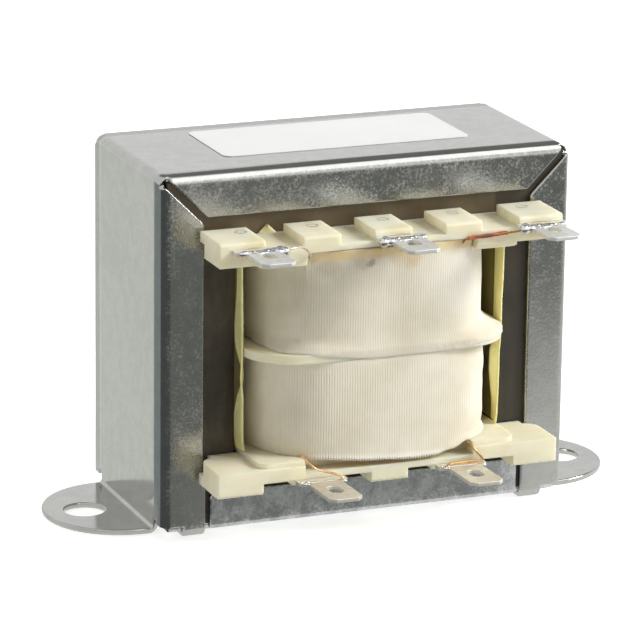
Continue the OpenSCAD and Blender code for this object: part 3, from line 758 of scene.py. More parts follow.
@dataclass
class Bobbin:
    """Nylon bobbin with its terminal blocks, and the marks that its mould left on them."""

    mid_z: float = 25.4125
    board_out: float = 16.0475
    upper_block_h: float = 1.4
    pitch: float = 10.16
    mark_shift: float = 0.6
    mark_y: float = 17.1
    mark_r: float = 0.72
    lip_r: float = 0.09
    lip_flat: float = 0.35
    lug_x: tuple[float, ...] = (-19.42, 0.9, 21.22)
    lug_y: float = 22.4

    def nylon(self) -> bpy.types.Material:
        """The bobbin's finish."""
        spots = tuple((x, -self.lug_y, self.mid_z + self.board_out) for x in self.lug_x)
        return MouldedNylon("moulded_nylon", spots).material()

    def build(self, bench: Bench) -> None:
        """Dresses the bobbin and adds the mould's marks."""
        nylon = self.nylon()
        bench.dress("bobbin", nylon)
        points: list[np.ndarray] = []
        faces: list[list[int]] = []
        top = self.mid_z + self.board_out + self.upper_block_h
        for number in range(-2, 3):
            for face in (-1, 1):
                centre = (number * self.pitch + self.mark_shift, face * self.mark_y, top)
                self._ring(points, faces, centre)
        bench.piece("ejector_marks", np.vstack(points), faces, nylon)

    def _ring(self, points: list[np.ndarray], faces: list[list[int]], centre: Point) -> None:
        """Adds the low round lip that an ejector pin left around its mark."""
        around, across = 40, 8
        start = sum(len(p) for p in points)
        turn = np.linspace(0, 2 * math.pi, around, endpoint=False)
        ring = []
        for k in range(across):
            phase = 2 * math.pi * k / across
            radius = self.mark_r + self.lip_r * math.cos(phase)
            height = centre[2] + self.lip_flat * self.lip_r * math.sin(phase)
            ring.append(np.stack([centre[0] + radius * np.cos(turn),
                                  centre[1] + radius * np.sin(turn),
                                  np.full(around, height)], 1))
        points.append(np.vstack(ring))
        for k in range(across):
            for i in range(around):
                a, b = start + k * around, start + (k + 1) % across * around
                j = (i + 1) % around
                faces.append([a + i, b + i, b + j, a + j])


@dataclass(frozen=True)
class TapePlan:
    """What all rows of one tape share: a value for each point of its outline.

    The values are its place and outward direction, its share of a cord, the heights of both
    edges, and how far the drawn edge, the foot and the fray reach there.
    """

    points: np.ndarray
    outward: np.ndarray
    rib: np.ndarray
    bottom: np.ndarray
    top: np.ndarray
    drawn: np.ndarray
    foot: np.ndarray
    fray: np.ndarray


@dataclass
class Coil:
    """One winding and the corded tape around it.

    Heights are measured from the middle of the window towards the coil's own terminal board. The
    edge of the tape beside the partition is its foot. The other one is drawn up through the recess
    in the bobbin's flange.
    """

    tier: Tier
    half_x: float
    low: float
    mid_z: float = 25.4125
    half_y: float = 22.2175
    power: float = 4.0
    waist: float = 0.3
    tape: float = 0.5
    high: float = 13.4475
    drawn: tuple[tuple[float, float], ...] = ((-12.15, 13.4475), (-11.5, 15.1), (11.5, 15.1),
                                              (12.15, 13.4475))
    drawn_out: float = 0.3
    drawn_h: float = 0.9
    drawn_from: float = 0.55
    soaked_and_shaded: float = 0.0
    rim_half: tuple[float, float] = (18.65, 22.0175)
    rim_r: float = 7.0
    cord: float = 0.36
    cord_height: float = 0.022
    per_cord: int = 6
    rows: int = 40
    droop: float = 1.2
    droop_x: tuple[float, float] = (-13.0, -2.0)
    spread_x: tuple[float, float] = (-16.4, -13.0)
    spread_y: tuple[float, float] = (-8.5, -12.5)
    inset: tuple[float, float, float] = (-0.9, 0.3, -0.05)
    inset_x: tuple[Point, Point] = ((-14.0, -9.5), (10.0, 14.0))
    toe_from: float = 0.15
    toe_h: float = 1.9
    toe_power: float = 1.7
    tuck: float = 0.12
    tuck_h: tuple[float, float] = (0.6, 1.3)
    selvedge_share: float = 0.05
    bead: float = 0.12
    bead_share: float = 0.11
    fuzz: float = 0.22
    fuzz_x: tuple[float, float] = (3.0, 9.0)
    drift: float = 0.07
    drift_x: tuple[float, float] = (4.0, 12.0)
    tug: float = 0.22
    tug_x: tuple[float, float] = (12.0, 16.0)
    lip: float = 0.6
    lip_x: tuple[float, float] = (7.5, 12.5)
    fringe_x: tuple[float, float] = (-11.5, 7.5)
    fringe: float = 0.26
    fringe_lift: float = 0.1
    hem_share: float = 0.05
    hem_out: tuple[float, float] = (0.12, 0.14)
    # Round patches of colour on the tape: real stains, and some painted shade and painted light.
    stains_and_shading: tuple[StainAndShade, ...] = ()

    def outline(self) -> tuple[np.ndarray, np.ndarray]:
        """Outline of the tape seen from above, evenly spaced.

        Returns:
            Its points and its outward directions.
        """
        turn = np.linspace(0, 2 * math.pi, 16001)
        c, s = np.cos(turn), np.sin(turn)
        share = 2 / self.power
        dense = np.stack([np.sign(c) * np.abs(c) ** share * self.half_x,
                          np.sign(s) * np.abs(s) ** share * self.half_y], 1)
        steps = np.linalg.norm(np.diff(dense, axis=0), axis=1)
        run = np.concatenate([[0], np.cumsum(steps)])
        cords = round(run[-1] / self.cord)
        at = np.linspace(0, run[-1], cords * self.per_cord, endpoint=False)
        points = np.stack([np.interp(at, run, dense[:, 0]), np.interp(at, run, dense[:, 1])], 1)
        along = np.roll(points, -4, 0) - np.roll(points, 4, 0)
        outward = np.stack([along[:, 1], -along[:, 0]], 1)
        return points, outward / np.linalg.norm(outward, axis=1)[:, None]

    def build(self, bench: Bench) -> None:
        """Dresses the winding and wraps the tape around it."""
        word = self.tier.name.lower()
        copper = BareMetal(f"{word}_turns", (0.36, 0.13, 0.05), (0.66, 0.29, 0.13), 0.28, 0.42,
                           0.6)
        bench.dress(f"{word}_winding", copper.material())
        points, faces, values = self._tape()
        cloth = WovenTape(f"{word}_tape_cloth", self.stains_and_shading).material()
        bench.piece(f"{word}_tape_wrap", points, faces, cloth,
                    [f"{word}_tape"], values)

    def _to_rim(self, plan: np.ndarray) -> np.ndarray:
        """Distance from each point of the outline out to the partition's rim."""
        past = np.abs(plan) - np.array(self.rim_half) + self.rim_r
        corner = np.linalg.norm(np.maximum(past, 0.0), axis=1)
        return self.rim_r - corner - np.minimum(past.max(axis=1), 0.0)

    def _foot(self, plan: np.ndarray) -> tuple[np.ndarray, np.ndarray]:
        """How the foot of the upper tape spreads over the partition and hangs over its rim.

        The inset makes the foot stop short of the rim, or pass it, at the left, in the middle
        and at the right.

        Args:
            plan: outline of the tape.

        Returns:
            How far it stands out, and how far it hangs down.
        """
        x, front = plan[:, 0], plan[:, 1] < 0
        if self.tier is Tier.LOWER:
            return np.zeros(len(plan)), np.zeros(len(plan))
        right = smooth_step(plan[:, 1], *self.spread_y)
        hang = front * smooth_step(x, *self.droop_x) * right
        spread = front * smooth_step(x, *self.spread_x) * np.where(x > 0, right, 1.0)
        first, middle, last = self.inset
        inset = first + (middle - first) * smooth_step(x, *self.inset_x[0]) \
            + (last - middle) * smooth_step(x, *self.inset_x[1])
        return spread * np.maximum(self._to_rim(plan) + inset, -0.1), hang

    def _toe(self, z: np.ndarray) -> np.ndarray:
        """Share of the foot's spread at a height: all of it beside the partition's rim."""
        past = (z - self.low - self.toe_from) / self.toe_h
        over = np.clip(1 - past, 0.0, 1.0) ** self.toe_power
        return over - self.tuck * smooth_step(self.low - z, *self.tuck_h)

    def _sway(self, at: np.ndarray, seed: float) -> np.ndarray:
        """Smooth noise along the outline, from points that are one cord apart."""
        coarse = np.array([ripple(*place, seed) for place in at[::self.per_cord]])
        return np.interp(np.arange(len(at)), np.arange(0, len(at), self.per_cord), coarse)

    def _plan(self) -> TapePlan:
        """Works out what all rows of the tape share."""
        points, outward = self.outline()
        x, y = points[:, 0], points[:, 1]
        top = np.interp(x, *zip(*self.drawn))
        top = np.convolve(np.pad(top, 6, mode="wrap"), np.full(13, 1 / 13), "valid")
        rib = 0.5 + 0.5 * np.cos(np.arange(len(x)) / self.per_cord * 2 * math.pi)
        foot, hang = self._foot(points)
        first, last = self.fringe_x
        fray = (y < 0) * smooth_step(x, first - 1, first + 1) * smooth_step(x, last + 1, last - 1)
        return TapePlan(points, outward, rib, self.low + 0.02 - self.droop * hang, top,
                        np.clip((top - self.high) / self.drawn_h, 0.0, 1.0), foot,
                        fray * (self.tier is Tier.LOWER))

    def _levels(self) -> np.ndarray:
        """Where the rows lie, from 0 at the foot to 1, closer together near both edges."""
        return np.concatenate([np.linspace(0, 0.2, 15)[:-1],
                               np.linspace(0.2, 0.84, self.rows - 24),
                               np.linspace(0.84, 1, 11)[1:]])

    def _outer_row(self, plan: TapePlan,
                   share: float) -> tuple[np.ndarray, np.ndarray, np.ndarray]:
        """One row of the tape's outside.

        Args:
            plan: what all rows share.
            share: level of the row.

        Returns:
            Its points, and their shares of hem and of soaked cloth.
        """
        x, front = plan.points[:, 0], plan.points[:, 1] < 0
        upper, lower = self.tier is Tier.UPPER, self.tier is Tier.LOWER
        z = plan.bottom + (plan.top - plan.bottom) * share
        middle = abs(2 * share - 1)
        narrow = self.waist * middle ** 4
        pull = max(0.0, (share - self.drawn_from) / (1 - self.drawn_from)) ** 1.5
        out = -narrow + (self.drawn_out + narrow) * plan.drawn * pull
        out = out + (plan.foot + self.waist * (plan.foot > 0)) * self._toe(z)
        soak_and_shade = np.zeros(len(x))
        if self.soaked_and_shaded:
            soak_and_shade = smooth_step(plan.top - z, self.soaked_and_shaded * 1.25, self.soaked_and_shaded * 0.85)
        soak_and_shade = soak_and_shade * smooth_step(plan.drawn, 0.2, 0.8)
        out = out + self._uneven(plan, share, z)
        selvedge = max(0.0, 1 - share / self.selvedge_share) ** 0.5
        out = out + self.bead * math.sin(math.pi * min(1.0, share / self.bead_share)) * upper
        hem = plan.fray * max(0.0, 1 - (1 - share) / self.hem_share)
        lip = lower * front * smooth_step(x, *self.lip_x) * max(0.0, share * 14 - 13)
        out = out + self.lip * lip ** 0.7
        calm = (1 - 0.3 * middle ** 8) * (1 - 0.8 * selvedge) * (1 - 0.9 * soak_and_shade)
        calm = calm * (1 - 0.45 * smooth_step(x, 0.0, 14.0) * front)
        out = out + self.cord_height * (2 * plan.rib - 1) * calm
        z = z + hem * self.fringe * (plan.rib * 2 - 1) + self.fringe_lift * plan.fray * hem
        out = out + hem * (self.hem_out[0] + self.hem_out[1] * plan.rib)
        row = np.column_stack([plan.points + plan.outward * out[:, None], self._up(z)])
        return row, np.maximum(hem, selvedge * 0.5), soak_and_shade

    def _uneven(self, plan: TapePlan, share: float, z: np.ndarray) -> np.ndarray:
        """How far a row stands out because the cloth is fuzzy, drifts and is tugged aside."""
        x, front = plan.points[:, 0], plan.points[:, 1] < 0
        count, sign = len(x), self.tier.value
        fuzzy = front * smooth_step(x, *self.fuzz_x) * max(0.0, 1 - share / 0.14) * (sign > 0)
        fuzz = self._sway(np.column_stack([plan.points * 1.7, np.full(count, share * 30)]), 4.0)
        drift = self._sway(np.column_stack([plan.points * 0.16, np.full(count, share * 2.2)]),
                           3.0 * sign + 9)
        tug = self._sway(np.column_stack([np.full((count, 2), (4.0, 2.0)), z * 0.42]), 5.0 * sign)
        out = self.fuzz * fuzzy * fuzz
        out = out + self.drift * drift * (1 - 0.7 * smooth_step(x, *self.drift_x))
        held = 1 - abs(2 * share - 1) ** 6
        return out + self.tug * smooth_step(x, *self.tug_x) * tug * held

    def _inner_row(self, plan: TapePlan, share: float) -> np.ndarray:
        """One row of the tape's inside."""
        z = plan.bottom + (plan.top - plan.bottom) * share
        pull = max(0.0, (share - self.drawn_from) / (1 - self.drawn_from))
        out = -self.tape - (self.waist * abs(2 * share - 1) ** 4)
        out = out + (self.drawn_out + self.waist) * plan.drawn * pull
        out = out + (plan.foot + self.waist * (plan.foot > 0)) * self._toe(z)
        return np.column_stack([plan.points + plan.outward * out[:, None], self._up(z)])

    def _tape(self) -> tuple[np.ndarray, list[list[int]], dict[str, np.ndarray]]:
        """Corded tape as a closed band.

        Returns:
            Its points, its faces and the values that its points carry.
        """
        plan = self._plan()
        count = len(plan.points)
        outer, hems, soaks = zip(*(self._outer_row(plan, share) for share in self._levels()))
        inner = [self._inner_row(plan, share) for share in (1.0, 0.5, 0.26, 0.17, 0.08, 0.0)]
        total = len(outer) + len(inner)
        faces = []
        for r in range(total):
            a, b = r * count, (r + 1) % total * count
            ring = [[a + i, a + (i + 1) % count, b + (i + 1) % count, b + i]
                    for i in range(count)]
            faces += ring if self.tier is Tier.UPPER else [f[::-1] for f in ring]
        rest = np.zeros(count * len(inner))
        return np.vstack([*outer, *inner]), faces, {
            "rib": np.concatenate([np.tile(plan.rib, len(outer)), rest + 0.5]),
            "hem": np.concatenate([*hems, rest]), "soak_and_shade": np.concatenate([*soaks, rest])}

    def _up(self, z: float | np.ndarray) -> np.ndarray:
        """Height in the frame of a height in the coil."""
        return self.mid_z + self.tier.value * z


@dataclass
class WindowLiner:
    """Film between the coils and an outer leg, bent and torn a little where it stands out."""

    side: Side
    outer_x: float = 19.03
    thick: float = 0.23
    core_face: float = 13.3175
    reach: float = 2.7
    half_h: float = 13.3475
    mid_z: float = 25.4125
    rows: int = 120
    folded: int = 16
    teeth: tuple[float, float] = (0.08, 0.05)
    back_lean: float = 0.2
    # Painted shade on the hidden back half of the film.
    hidden_shade: float = 0.4
    levels: tuple[float, ...] = (-13.4, -12.0, -9.0, -6.0, -3.0, -1.0, 0.5, 2.0, 4.5, 7.0, 10.0,
                                 13.4)
    # At each height, the share of the reach, from the core outwards, over which the left liner is
    # darker.
    darkened_reach: tuple[tuple[float, float], ...] = (
        (-13.4, 0.25), (-12.0, 0.05), (-8.8, 0.0), (-5.5, 0.35), (-3.0, 0.62), (-0.5, 0.3),
        (1.5, 0.05), (3.6, 0.0), (6.0, 0.1), (9.0, 0.2), (13.4, 0.22))

    def build(self, bench: Bench) -> None:
        """Makes the bent sheet."""
        word = self.side.name.lower()
        left = self.side is Side.LEFT
        # Each liner has its own copy of the film's colours, tuned to the light on its side, so the
        # difference between them is painted light and shade.
        pale, deep = ((0.94, 0.87, 0.42), (0.76, 0.69, 0.28)) if left \
            else ((0.96, 0.89, 0.42), (0.84, 0.76, 0.30))
        film = ThinFilm(f"{word}_film", pale, deep).material()
        heights = np.linspace(-self.half_h, self.half_h, self.rows)
        runs = [self._run(h) for h in heights]
        grids = [np.array([(*p, self.mid_z + h) for h, run in zip(heights, runs)
                           for p in self._beside(run, gap)]) for gap in (0.0, self.thick)]
        faces = sheet_faces(self.rows, len(runs[0]), left)
        soak_and_shade = np.array([self._dark_share(h, y) for h, run in zip(heights, runs) for _, y in run])
        bench.piece(f"{word}_liner_film", np.vstack(grids), faces, film,
                    [f"window_liner_{word}"], {"soak_and_shade": np.tile(soak_and_shade, 2)})

    def _run(self, height: float) -> np.ndarray:
        """Plan of the film at a height, from its front edge to its back edge."""
        fold = np.linspace(1, 0, self.folded)
        lean, bulge = (float(np.interp(height, self.levels, shape)) for shape in self._shape())
        teeth = self.teeth[0] * ripple(0.0, 0.0, height * 2.9, 4.0) \
            + self.teeth[1] * ripple(1.0, 0, height * 7, 2)
        past = (self.reach + teeth * fold ** 4) * fold
        out = lean * fold ** 1.5 - bulge * np.sin(math.pi * np.minimum(1.0, fold * 1.1)) ** 1.5
        front = np.column_stack([self.outer_x + out, -self.core_face - past])
        back = front[::-1] * (1, -1)
        back[:, 0] = self.outer_x - self.back_lean * (1 - fold) ** 2
        run = np.vstack([front, [(self.outer_x, 0.0)], back])
        run[:, 0] *= self.side.value
        return run

    def _shape(self) -> tuple[tuple[float, ...], tuple[float, ...]]:
        """At each level, how far the front edge leans out and how far the fold bulges in."""
        if self.side is Side.LEFT:
            return ((-0.4, -0.15, -0.1, -0.1, 0.15, 0.0, 0.0, 0.0, 0.0, 0.05, 0.1, 0.1),
                    (0.0, 0.0, 0.05, 0.15, 0.7, 0.3, 0.1, 0.1, 0.1, 0.15, 0.15, 0.1))
        return ((-0.6, -0.4, -0.35, -0.3, -0.3, -0.15, -0.1, -0.1, -0.1, 0.0, 0.05, 0.1),
                (0.0, 0.1, 0.5, 0.85, 0.8, 0.1, 0.05, 0.1, 0.05, 0.05, 0.1, 0.15))

    def _beside(self, run: np.ndarray, gap: float) -> np.ndarray:
        """The plan moved sideways by the film's thickness, towards the coil."""
        along = np.gradient(run, axis=0)
        aside = np.column_stack([-along[:, 1], along[:, 0]])
        aside /= np.linalg.norm(aside, axis=1)[:, None]
        return run + aside * gap * (1 if self.side is Side.RIGHT else -1)

    def _dark_share(self, height: float, y: float) -> float:
        """Share of darkening on the film, most of it near the core: painted shade on the hidden
        back half of both liners and inside the window on the right one, and on the left one a
        darker band from the core outwards whose width changes with height.
        """
        if y >= 0:
            return self.hidden_shade
        past = max(0.0, -y - self.core_face) / self.reach
        if self.side is Side.RIGHT:
            return 1 - float(smooth_step(past, 0.02, 0.12))
        covered = float(np.interp(height, *zip(*self.darkened_reach)))
        return float(smooth_step(past, covered + 0.08, covered - 0.08))


@dataclass
class Terminals:
    """Solder lugs with their solder, leads and sleeve."""

    mid_z: float = 25.4125
    board_y: float = 22.4175
    board_out: float = 16.0475
    lead_r: float = 0.15
    sleeve_r: float = 0.27
    upper_x: tuple[float, ...] = (-19.42, 0.9, 21.22)
    lower_x: tuple[float, ...] = (-10.16, 10.16)

    def place(self, lug_x: float, tier: Tier, points: Iterable[Point]) -> np.ndarray:
        """Turns points of a lug into points of the frame.

        Args:
            lug_x: the lug's middle.
            tier: upper or lower board.
            points: x from the lug, y past the board's edge and z from the board's outer face.

        Returns:
            The points in the frame.
        """
        p = np.asarray(list(points), float)
        return np.column_stack([lug_x + p[:, 0], -self.board_y - p[:, 1],
                                self.mid_z + tier.value * (self.board_out + p[:, 2])])

    def build(self, bench: Bench) -> None:
        """Dresses the lugs, and makes the solder, the leads and the sleeve."""
        upper = BareMetal("upper_tin", (0.78, 0.77, 0.74), (0.94, 0.935, 0.90), 0.4, 0.52, 1.2,
                          0.006, 0.14)
        lower = BareMetal("lower_tin", (0.72, 0.69, 0.61), (0.90, 0.87, 0.79), 0.42, 0.55, 1.2,
                          0.006, 0.14)
        tins = {Tier.UPPER: upper.material(), Tier.LOWER: lower.material()}
        for name in ("upper_lug_left", "upper_lug_middle", "upper_lug_right", "lower_lug_left",
                     "lower_lug_right"):
            tier = Tier.UPPER if name.startswith("upper") else Tier.LOWER
            bench.dress(name, tins[tier])
        self._solder(bench)
        self._leads(bench)

    def _solder(self, bench: Bench) -> None:
        """Makes each solder joint as one lump that has run over the root of its lug."""
        bright = BareMetal("solder_metal", (0.62, 0.62, 0.61), (0.80, 0.80, 0.79), 0.07, 0.16,
                           0.8, 0.008).material()
        run = ((-3.1, 1.9, 0.25, 0.7, 0.75, 0.7), (-2.2, 2.15, 0.35, 0.6, 0.62, 0.55),
               (-2.7, 1.25, 0.45, 0.6, 0.5, 0.5), (-1.9, 1.5, 0.5, 0.8, 0.6, 0.34),
               (-1.0, 1.35, 0.5, 1.0, 0.5, 0.26), (0.6, 1.4, 0.48, 1.7, 0.45, 0.22),
               (0.0, 2.1, 0.42, 0.95, 0.45, 0.28), (2.5, 1.75, 0.42, 0.75, 0.5, 0.4),
               (-1.25, 2.3, 0.5, 0.4, 0.5, 0.14), (1.3, 2.3, 0.5, 0.35, 0.5, 0.14))
        left_run = tuple((-x, y, z, *r) for x, y, z, *r in run)
        specks = ((-2.75, 1.75, 0.05, 0.42, 0.36, 0.3), (-2.3, 1.25, -0.03, 0.3, 0.22, 0.16),
                  (-3.05, 1.15, 0.0, 0.26, 0.2, 0.2), (-2.4, 1.9, 0.0, 0.34, 0.3, 0.14),
                  (2.7, 1.95, 0.05, 0.4, 0.36, 0.3), (2.3, 1.7, 0.0, 0.34, 0.26, 0.12),
                  (-1.2, 1.3, 0.02, 1.2, 0.22, 0.1), (0.9, 1.35, 0.02, 1.5, 0.2, 0.1))
        joints = (
            ("upper_solder_left", self.upper_x[0], Tier.UPPER, left_run),
            ("upper_solder_middle", self.upper_x[1], Tier.UPPER, run),
            ("upper_solder_right", self.upper_x[2], Tier.UPPER, run),
            ("lower_solder_left", self.lower_x[0], Tier.LOWER, specks),
            ("lower_solder_right", self.lower_x[1], Tier.LOWER, specks),
        )
        for name, lug_x, tier, lumps in joints:
            points, faces = self._lumps(lug_x, tier, lumps)
            made = bench.piece(name + "_joint", points, faces, bright, [name])
            melt = made.modifiers.new("melt", "REMESH")
            melt.mode = "VOXEL"
            melt.voxel_size = 0.06 * MM
            calm = made.modifiers.new("calm", "SMOOTH")
            calm.factor = 0.7
            calm.iterations = 10 if tier is Tier.UPPER else 6
            bench.settle(made)
            made.data.shade_smooth()

    def _lumps(self, lug_x: float, tier: Tier,
               lumps: Sequence[Sequence[float]]) -> tuple[np.ndarray, list[list[int]]]:
        """Round lumps that the remesh melts together.

        Args:
            lug_x: the lug's middle.
            tier: upper or lower board.
            lumps: x, y and z of each, from the lug, and its three radii.

        Returns:
            The points and faces of all of them.
        """
        turns, bands = 20, 10
        points: list[np.ndarray] = []
        faces: list[list[int]] = []
        for number, (x, y, z, wide, deep, tall) in enumerate(lumps):
            start = number * (turns * (bands - 1) + 2)
            rows = []
            for band in range(1, bands):
                tilt = math.pi * band / bands
                for turn in range(turns):
                    angle = 2 * math.pi * turn / turns
                    grow = 1 + 0.05 * ripple(x + math.cos(angle), y + math.sin(angle), tilt, 2.0)
                    rows.append((x + wide * grow * math.sin(tilt) * math.cos(angle),
                                 y + deep * grow * math.sin(tilt) * math.sin(angle),
                                 z + tall * grow * math.cos(tilt)))
            rows += [(x, y, z + tall), (x, y, z - tall)]
            points.append(self.place(lug_x, tier, rows))
            for band in range(bands - 2):
                for k in range(turns):
                    a, b = start + band * turns, start + (band + 1) * turns
                    faces.append([a + k, a + (k + 1) % turns, b + (k + 1) % turns, b + k])
            top = start + turns * (bands - 1)
            last = start + (bands - 2) * turns
            faces += [[top, start + (k + 1) % turns, start + k] for k in range(turns)]
            faces += [[top + 1, last + k, last + (k + 1) % turns] for k in range(turns)]
        if tier is Tier.UPPER:
            faces = [f[::-1] for f in faces]
        return np.vstack(points), faces

    def _leads(self, bench: Bench) -> None:
        """Makes the five leads and the sleeve."""
        coats = {
            WireCoat.ENAMEL: BareMetal("copper_lead", (0.66, 0.33, 0.14), (0.92, 0.60, 0.34),
                                       0.18, 0.34, 0.7).material(),
            WireCoat.DARK: BareMetal("dark_lead", (0.36, 0.19, 0.06), (0.62, 0.38, 0.16),
                                     0.22, 0.38, 0.7).material(),
            WireCoat.TINNED: BareMetal("tinned_lead", (0.74, 0.62, 0.46), (0.90, 0.82, 0.72),
                                       0.16, 0.3, 0.7).material(),
        }
        upper_right = ((-10.92, -1.3, -2.9), (-10.82, -1.2, -2.3), (-10.8, -0.9, -1.7),
                       (-10.78, -0.3, -1.15), (-10.7, 0.42, -0.75), (-9.7, 0.42, -0.61),
                       (-8.0, 0.42, -0.6), (-5.5, 0.42, -0.43), (-4.95, 0.42, -0.45),
                       (-4.6, 0.85, -0.3), (-4.2, 1.55, -0.05), (-2.9, 1.95, 0.25))
        routes = (
            ("upper_lead_left", self.upper_x[0], Tier.UPPER, WireCoat.TINNED,
             ((7.82, -1.7, -2.75), (7.8, -1.5, -2.3), (7.7, -0.8, -1.75), (7.5, 0.2, -1.1),
              (6.8, 0.7, -0.25), (5.8, 1.1, 0.4), (4.3, 1.9, 0.6), (2.9, 1.95, 0.25))),
            ("upper_lead_middle", self.upper_x[1], Tier.UPPER, WireCoat.TINNED,
             ((-2.4, -1.3, -2.9), (-2.5, -1.2, -2.3), (-2.6, -0.7, -1.6), (-2.8, 0.3, -1),
              (-3.0, 1.1, -0.5), (-2.9, 1.95, 0.25))),
            ("upper_lead_right", self.upper_x[2], Tier.UPPER, WireCoat.DARK, upper_right),
            ("lower_lead_left", self.lower_x[0], Tier.LOWER, WireCoat.ENAMEL,
             ((-2.04, -1.675, -2.85), (-1.6, -0.7, -2.4), (-1.3, 0.15, -1.95), (-0.6, 0.5, -1.4),
              (0.7, 0.8, -1.0), (2.3, 1.5, -0.55), (2.9, 1.95, 0.25))),
            ("lower_lead_right", self.lower_x[1], Tier.LOWER, WireCoat.DARK,
             ((1.49, -1.403, -2.6), (1.6, -0.9, -2.3), (1.9, 0.2, -1.95), (2.6, 0.55, -1.05),
              (3.2, 0.6, -0.3), (2.6, 0.6, -0.2), (0.8, 0.6, -0.2), (-1.2, 0.8, -0.2),
              (-1.9, 1.05, -0.2), (-2.9, 1.95, -0.2))),
        )
        for name, lug_x, tier, coat, route in routes:
            path = curve_through(self.place(lug_x, tier, route))
            points, faces = bench.tube(path, np.full(len(path), self.lead_r))
            bench.piece(name + "_wire", points, faces, coats[coat], [name])
        path = curve_through(self.place(self.upper_x[2], Tier.UPPER, upper_right[4:9]), 16)
        radii = np.array([self.sleeve_r * (1 + 0.05 * ripple(0, 0, k * 0.35, 1.0))
                          for k in range(len(path))])
        points, faces = bench.tube(path, radii, 20)
        bench.piece("red_lead_sleeve", points, faces, SoftSleeve("red_sleeve").material(),
                    ["lead_sleeve"])


@dataclass
class FilmCorner:
    """Loose corner of film that stands up against the core behind the upper board."""

    x: float = -14.6
    width: float = 2.6
    y: float = -13.36
    base_z: float = 39.56
    shoulder_z: float = 41.46
    top_z: float = 42.66
    thick: float = 0.25
    curl: float = 0.25
    wrinkle: float = 0.12

    def build(self, bench: Bench) -> None:
        """Makes the folded corner."""
        film = ThinFilm("corner_film", (0.78, 0.70, 0.42), (0.62, 0.54, 0.30)).material()
        rows, columns = 14, 10
        grids = []
        for back in (0.0, self.thick):
            grid = []
            for r in range(rows):
                share = r / (rows - 1)
                z = self.base_z + (self.top_z - self.base_z) * share
                narrow = min(1.0, (self.top_z - z) / (self.top_z - self.shoulder_z))
                half = self.width / 2 * max(0.03, narrow)
                for k in range(columns):
                    across = 2 * k / (columns - 1) - 1
                    out = self.curl * share ** 2 \
                        + self.wrinkle * math.sin(3 * across + 1) * share
                    grid.append((self.x + half * across, self.y - out - back, z))
            grids.append(np.array(grid))
        faces = sheet_faces(rows, columns, True)
        bench.piece("loose_film_corner", np.vstack(grids), faces, film,
                    ["film_corner"])


@dataclass
class TopLabel:
    """Blank label on the top."""

    half: tuple[float, float] = (18.0, 7.5)
    centre: tuple[float, float] = (0.5, 2.2)

    def build(self, bench: Bench) -> None:
        """Dresses the label."""
        stock = LabelStock("label_stock", self.half, self.centre)
        bench.dress("top_label", stock.material(), 0.03)


@dataclass(frozen=True)
class Lamp:
    """A soft square lamp that points at the object, and whether gloss shows it."""

    name: str
    place: Point
    side_mm: float
    watts: float
    mirrored: bool
    aim: Point = (0, 0, 25)

    def hang(self) -> None:
        """Makes the lamp."""
        light = bpy.data.lights.new(self.name, "AREA")
        light.shape = "SQUARE"
        light.size = self.side_mm * MM
        light.energy = self.watts
        lamp = bpy.data.objects.new(self.name, light)
        lamp.location = Vector(self.place) * MM
        lamp.visible_glossy = self.mirrored
        towards = Vector(self.aim) * MM - lamp.location
        lamp.rotation_euler = towards.to_track_quat("-Z", "Y").to_euler()
        bpy.context.scene.collection.objects.link(lamp)


